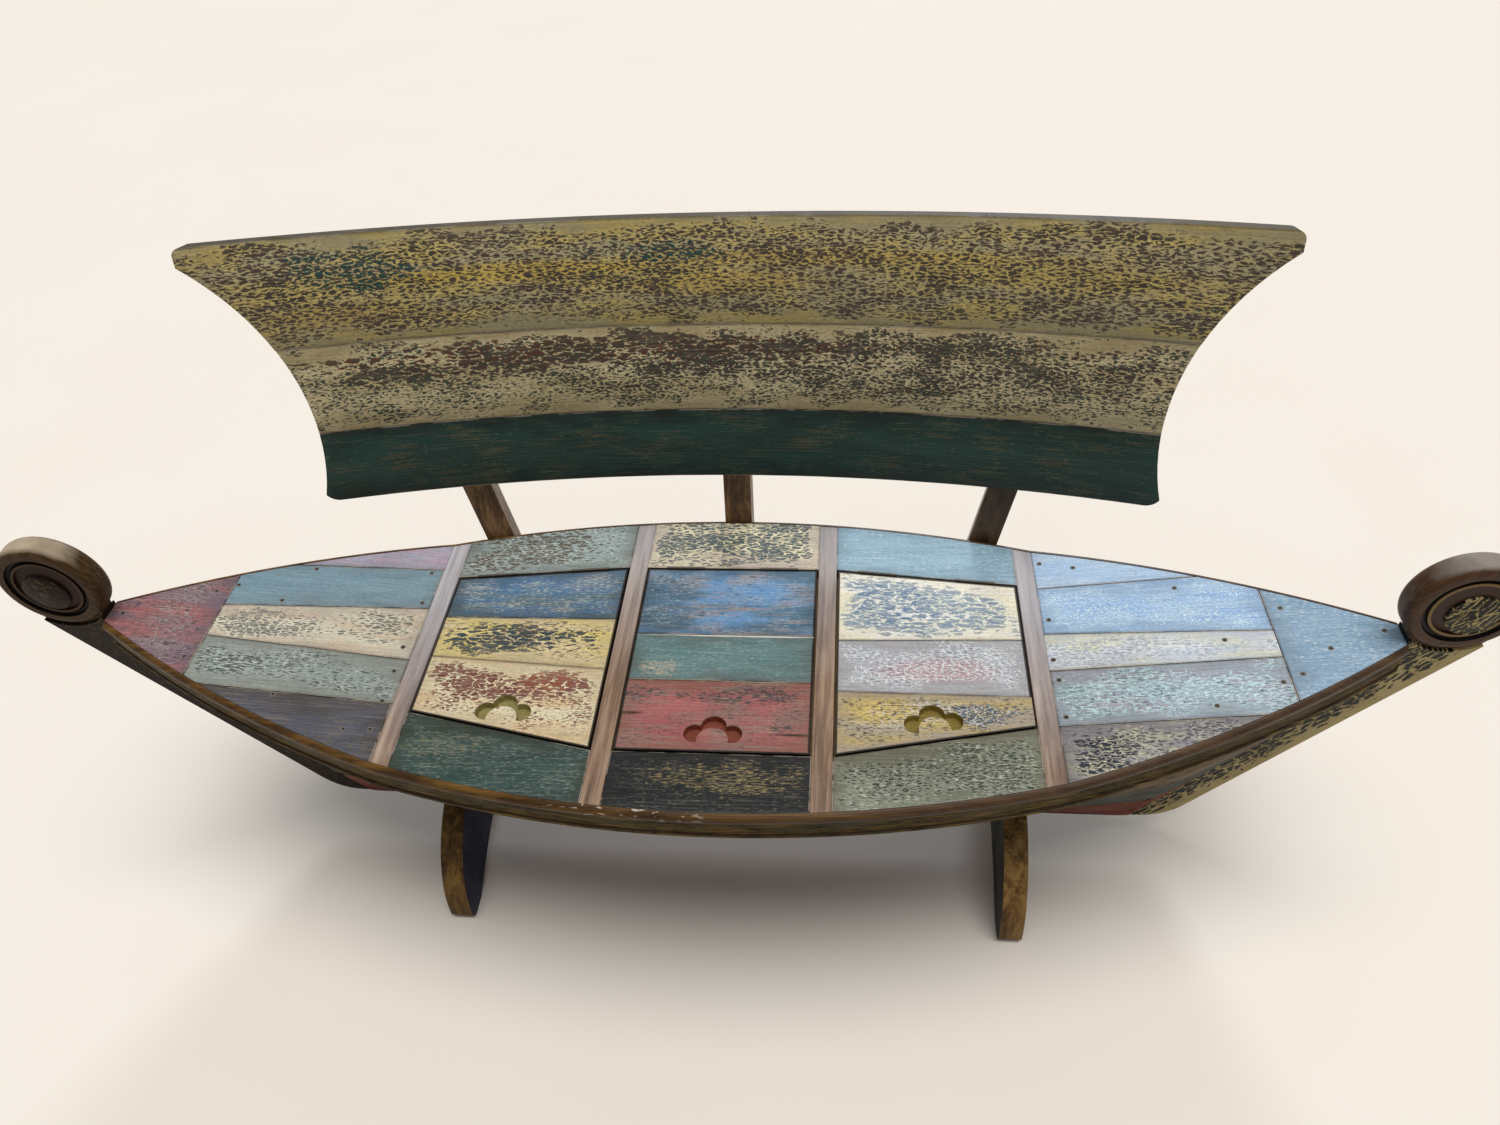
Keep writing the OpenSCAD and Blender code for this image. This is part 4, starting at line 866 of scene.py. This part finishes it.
# Radius and height of the turned profile, in metres, from the outside in
PROFILE = [(0.0040, -0.0004), (0.0039, 0.0001), (0.0035, 0.0003), (0.0030, 0.0003),
           (0.0026, 0.0001), (0.0018, 0.00005), (0.0, 0.00012)]
STEPS = 20
PLUGS = {
    "nail_plugs_left": [(-662, 130), (-484, 147), (-765, 80), (-689, 58), (-480, 82),
                        (-482, -9), (-481, -55), (-481, -110), (-634, -118), (-518, -164),
                        (-482, -160), (-783, -68), (-792, 63), (-906, 0)],
    "nail_plugs_right": [(524, 172), (659, 115), (476, 186), (476, 69), (473, -7), (476, -44),
                         (477, -108), (704, 10), (759, -69), (669, -102), (789, 62),
                         (786, -57), (832, -16), (906, 9)],
}
for name, spots in PLUGS.items():
    points, faces, finish = [], [], []
    for x, y in spots:
        side = 1 if x > 0 else -1
        seat = Matrix.Translation((x / 1000, y / 1000 + CENTRE_LINE,
                                   deck_height(x / 1000))) @ \
            Matrix.Rotation(-side * SLOPE, 4, "Y")
        start = len(points)
        for radius, up in PROFILE[:-1]:
            for k in range(STEPS):
                a = math.tau * k / STEPS
                points.append(seat @ Vector((radius * math.cos(a), radius * math.sin(a), up)))
        points.append(seat @ Vector((0, 0, PROFILE[-1][1])))
        for ring in range(len(PROFILE) - 2):
            for k in range(STEPS):
                a = start + ring * STEPS + k
                b = start + ring * STEPS + (k + 1) % STEPS
                faces.append((a, b, b + STEPS, a + STEPS))
                finish.append(0 if ring < 4 else 1)
        last = start + (len(PROFILE) - 2) * STEPS
        for k in range(STEPS):
            faces.append((last + k, last + (k + 1) % STEPS, len(points) - 1))
            finish.append(1)
    mesh = bpy.data.meshes.new(name)
    mesh.from_pydata(points, [], faces)
    for putty in putties:
        mesh.materials.append(putty)
    for face, which in zip(mesh.polygons, finish):
        face.material_index = which
        face.use_smooth = True
    plugs = bpy.data.objects.new(name, mesh)
    bpy.context.scene.collection.objects.link(plugs)
    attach(plugs, "hull")
    print(name, len(spots), "plugs", len(faces), "faces")

# %% [markdown]
# ## Soft arrises
# Sharp CAD edges look unreal, because every real arris is worn round and catches a line of
# light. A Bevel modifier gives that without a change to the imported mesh. It only acts on
# edges between faces that share their corners, so a Weld comes first.

# %% Round the edges
rounded_off = 0
for node, solid in solids.items():
    if "hinge" in node or node.startswith(("bottom", "side", "upper", "sheer", "nosing")):
        continue
    weld = solid.modifiers.new("weld", "WELD")
    weld.merge_threshold = 0.00002
    bevel = solid.modifiers.new("arris", "BEVEL")
    bevel.width = 0.0012
    bevel.segments = 2
    bevel.limit_method = "ANGLE"
    bevel.angle_limit = math.radians(40)
    rounded_off += 1
print("solids with soft arrises", rounded_off)

# %% [markdown]
# ## Floor, light and camera
# The photograph was taken from above and in front, in a room with a broad light overhead
# and a low window behind, which shines under the backrest and past its ends. Two suns
# with wide angles stand for them, and a plain world fills the shadows. Together they light
# a level surface at about 1, so a colour renders as written. The photograph's floor is
# bleached white, although the bench's lower parts are dark, so it threw little light up.
# The floor's paint is therefore pale for the camera and in reflections, and mid-grey for
# the light that it throws back.

# %% Floor
FLOOR_HALF = 12
floor_paint, tree = fresh("matt_floor_paint")
place = add(tree, "TexCoord")
cloud = add(tree, "TexNoise", {"Vector": place.outputs["Object"], "Scale": 2.0,
            "Detail": 2.0})
tint = add(tree, "Mix", {"Factor": cloud.outputs["Fac"], "A": linear("#f6ede2"),
           "B": linear("#f9f1e7")}, data_type="RGBA")
ray = add(tree, "LightPath")
seen = add(tree, "Math", {0: ray.outputs["Is Camera Ray"],
           1: ray.outputs["Is Glossy Ray"]}, operation="MAXIMUM")
seen = add(tree, "Math", {0: seen, 1: ray.outputs["Is Transmission Ray"]},
           operation="MAXIMUM")
tint = add(tree, "Mix", {"Factor": seen, "A": linear("#9a948c"), "B": tint}, data_type="RGBA")
skin = add(tree, "BsdfPrincipled", {"Base Color": tint, "Roughness": 0.9})
add(tree, "OutputMaterial", {"Surface": skin})
mesh = bpy.data.meshes.new("floor")
mesh.from_pydata([(x * FLOOR_HALF, y * FLOOR_HALF, 0)
                  for x, y in ((-1, -1), (1, -1), (1, 1), (-1, 1))], [], [(0, 1, 2, 3)])
mesh.materials.append(floor_paint)
floor = bpy.data.objects.new("floor", mesh)
bpy.context.scene.collection.objects.link(floor)
print("floor", 2 * FLOOR_HALF, "m wide")

# %% World and lamps
world = bpy.data.worlds.new("studio")
bpy.context.scene.world = world
world.use_nodes = True
tree = world.node_tree
tree.nodes.clear()
ray = add(tree, "LightPath")
seen = add(tree, "Math", {0: ray.outputs["Is Camera Ray"],
           1: ray.outputs["Is Transmission Ray"]}, operation="MAXIMUM")
glow = add(tree, "Background", {"Color": (1, 1, 1, 1), "Strength": 0.20})
pale = add(tree, "Background", {"Color": linear("#f7f0e6"), "Strength": 1.0})
both = add(tree, "MixShader", {0: seen, 1: glow, 2: pale})
add(tree, "OutputWorld", {"Surface": both})

# For each sun: the way towards it, its energy, its angle in degrees and its colour
LAMPS = {"ceiling": ((0.12, -0.02, 1.0), 2.20, 40, (1.0, 0.99, 0.97)),
         "window": ((0.12, 1.0, 0.50), 0.85, 14, (0.86, 0.93, 1.0))}
for name, (towards, energy, width, tint) in LAMPS.items():
    sun = bpy.data.lights.new(name, "SUN")
    sun.energy = energy
    sun.angle = math.radians(width)
    sun.color = tint
    lamp = bpy.data.objects.new(name, sun)
    lamp.rotation_euler = Vector(towards).to_track_quat("Z", "Y").to_euler()
    bpy.context.scene.collection.objects.link(lamp)
    level = energy * Vector(towards).normalized().z / math.pi
    print(name, "lamp, level light", round(level, 2))

# %% Camera
# Focal length and width of the photograph in its own pixels, and the place of the lens.
# The angles are in radians: right of straight ahead, down, and clockwise
FOCAL_PX, PHOTO_WIDTH, LENS_AT = 1049.8, 1500, (0.1797, -1.06784, 1.6027)
yaw, pitch, roll = -0.1293, 0.7769, 0.0786
ahead = Vector((math.sin(yaw) * math.cos(pitch), math.cos(yaw) * math.cos(pitch),
                -math.sin(pitch)))
right = Vector((math.cos(yaw), -math.sin(yaw), 0))
down = ahead.cross(right)
right, down = (right * math.cos(roll) + down * math.sin(roll),
               down * math.cos(roll) - right * math.sin(roll))
lens = bpy.data.cameras.new("photo_view")
lens.sensor_width = 36
lens.lens = FOCAL_PX * lens.sensor_width / PHOTO_WIDTH
camera = bpy.data.objects.new("photo_view", lens)
turn = Matrix((right, -down, -ahead)).transposed()
camera.matrix_world = Matrix.Translation(LENS_AT) @ turn.to_4x4()
bpy.context.scene.collection.objects.link(camera)
bpy.context.scene.camera = camera
bpy.context.scene.view_settings.view_transform = "Standard"
print("lens", round(lens.lens, 2), "mm")

# %% [markdown]
# ## Last update
# The view layer is updated once more, so that every object's place is current.

# %% Update the view layer
bpy.context.view_layer.update()
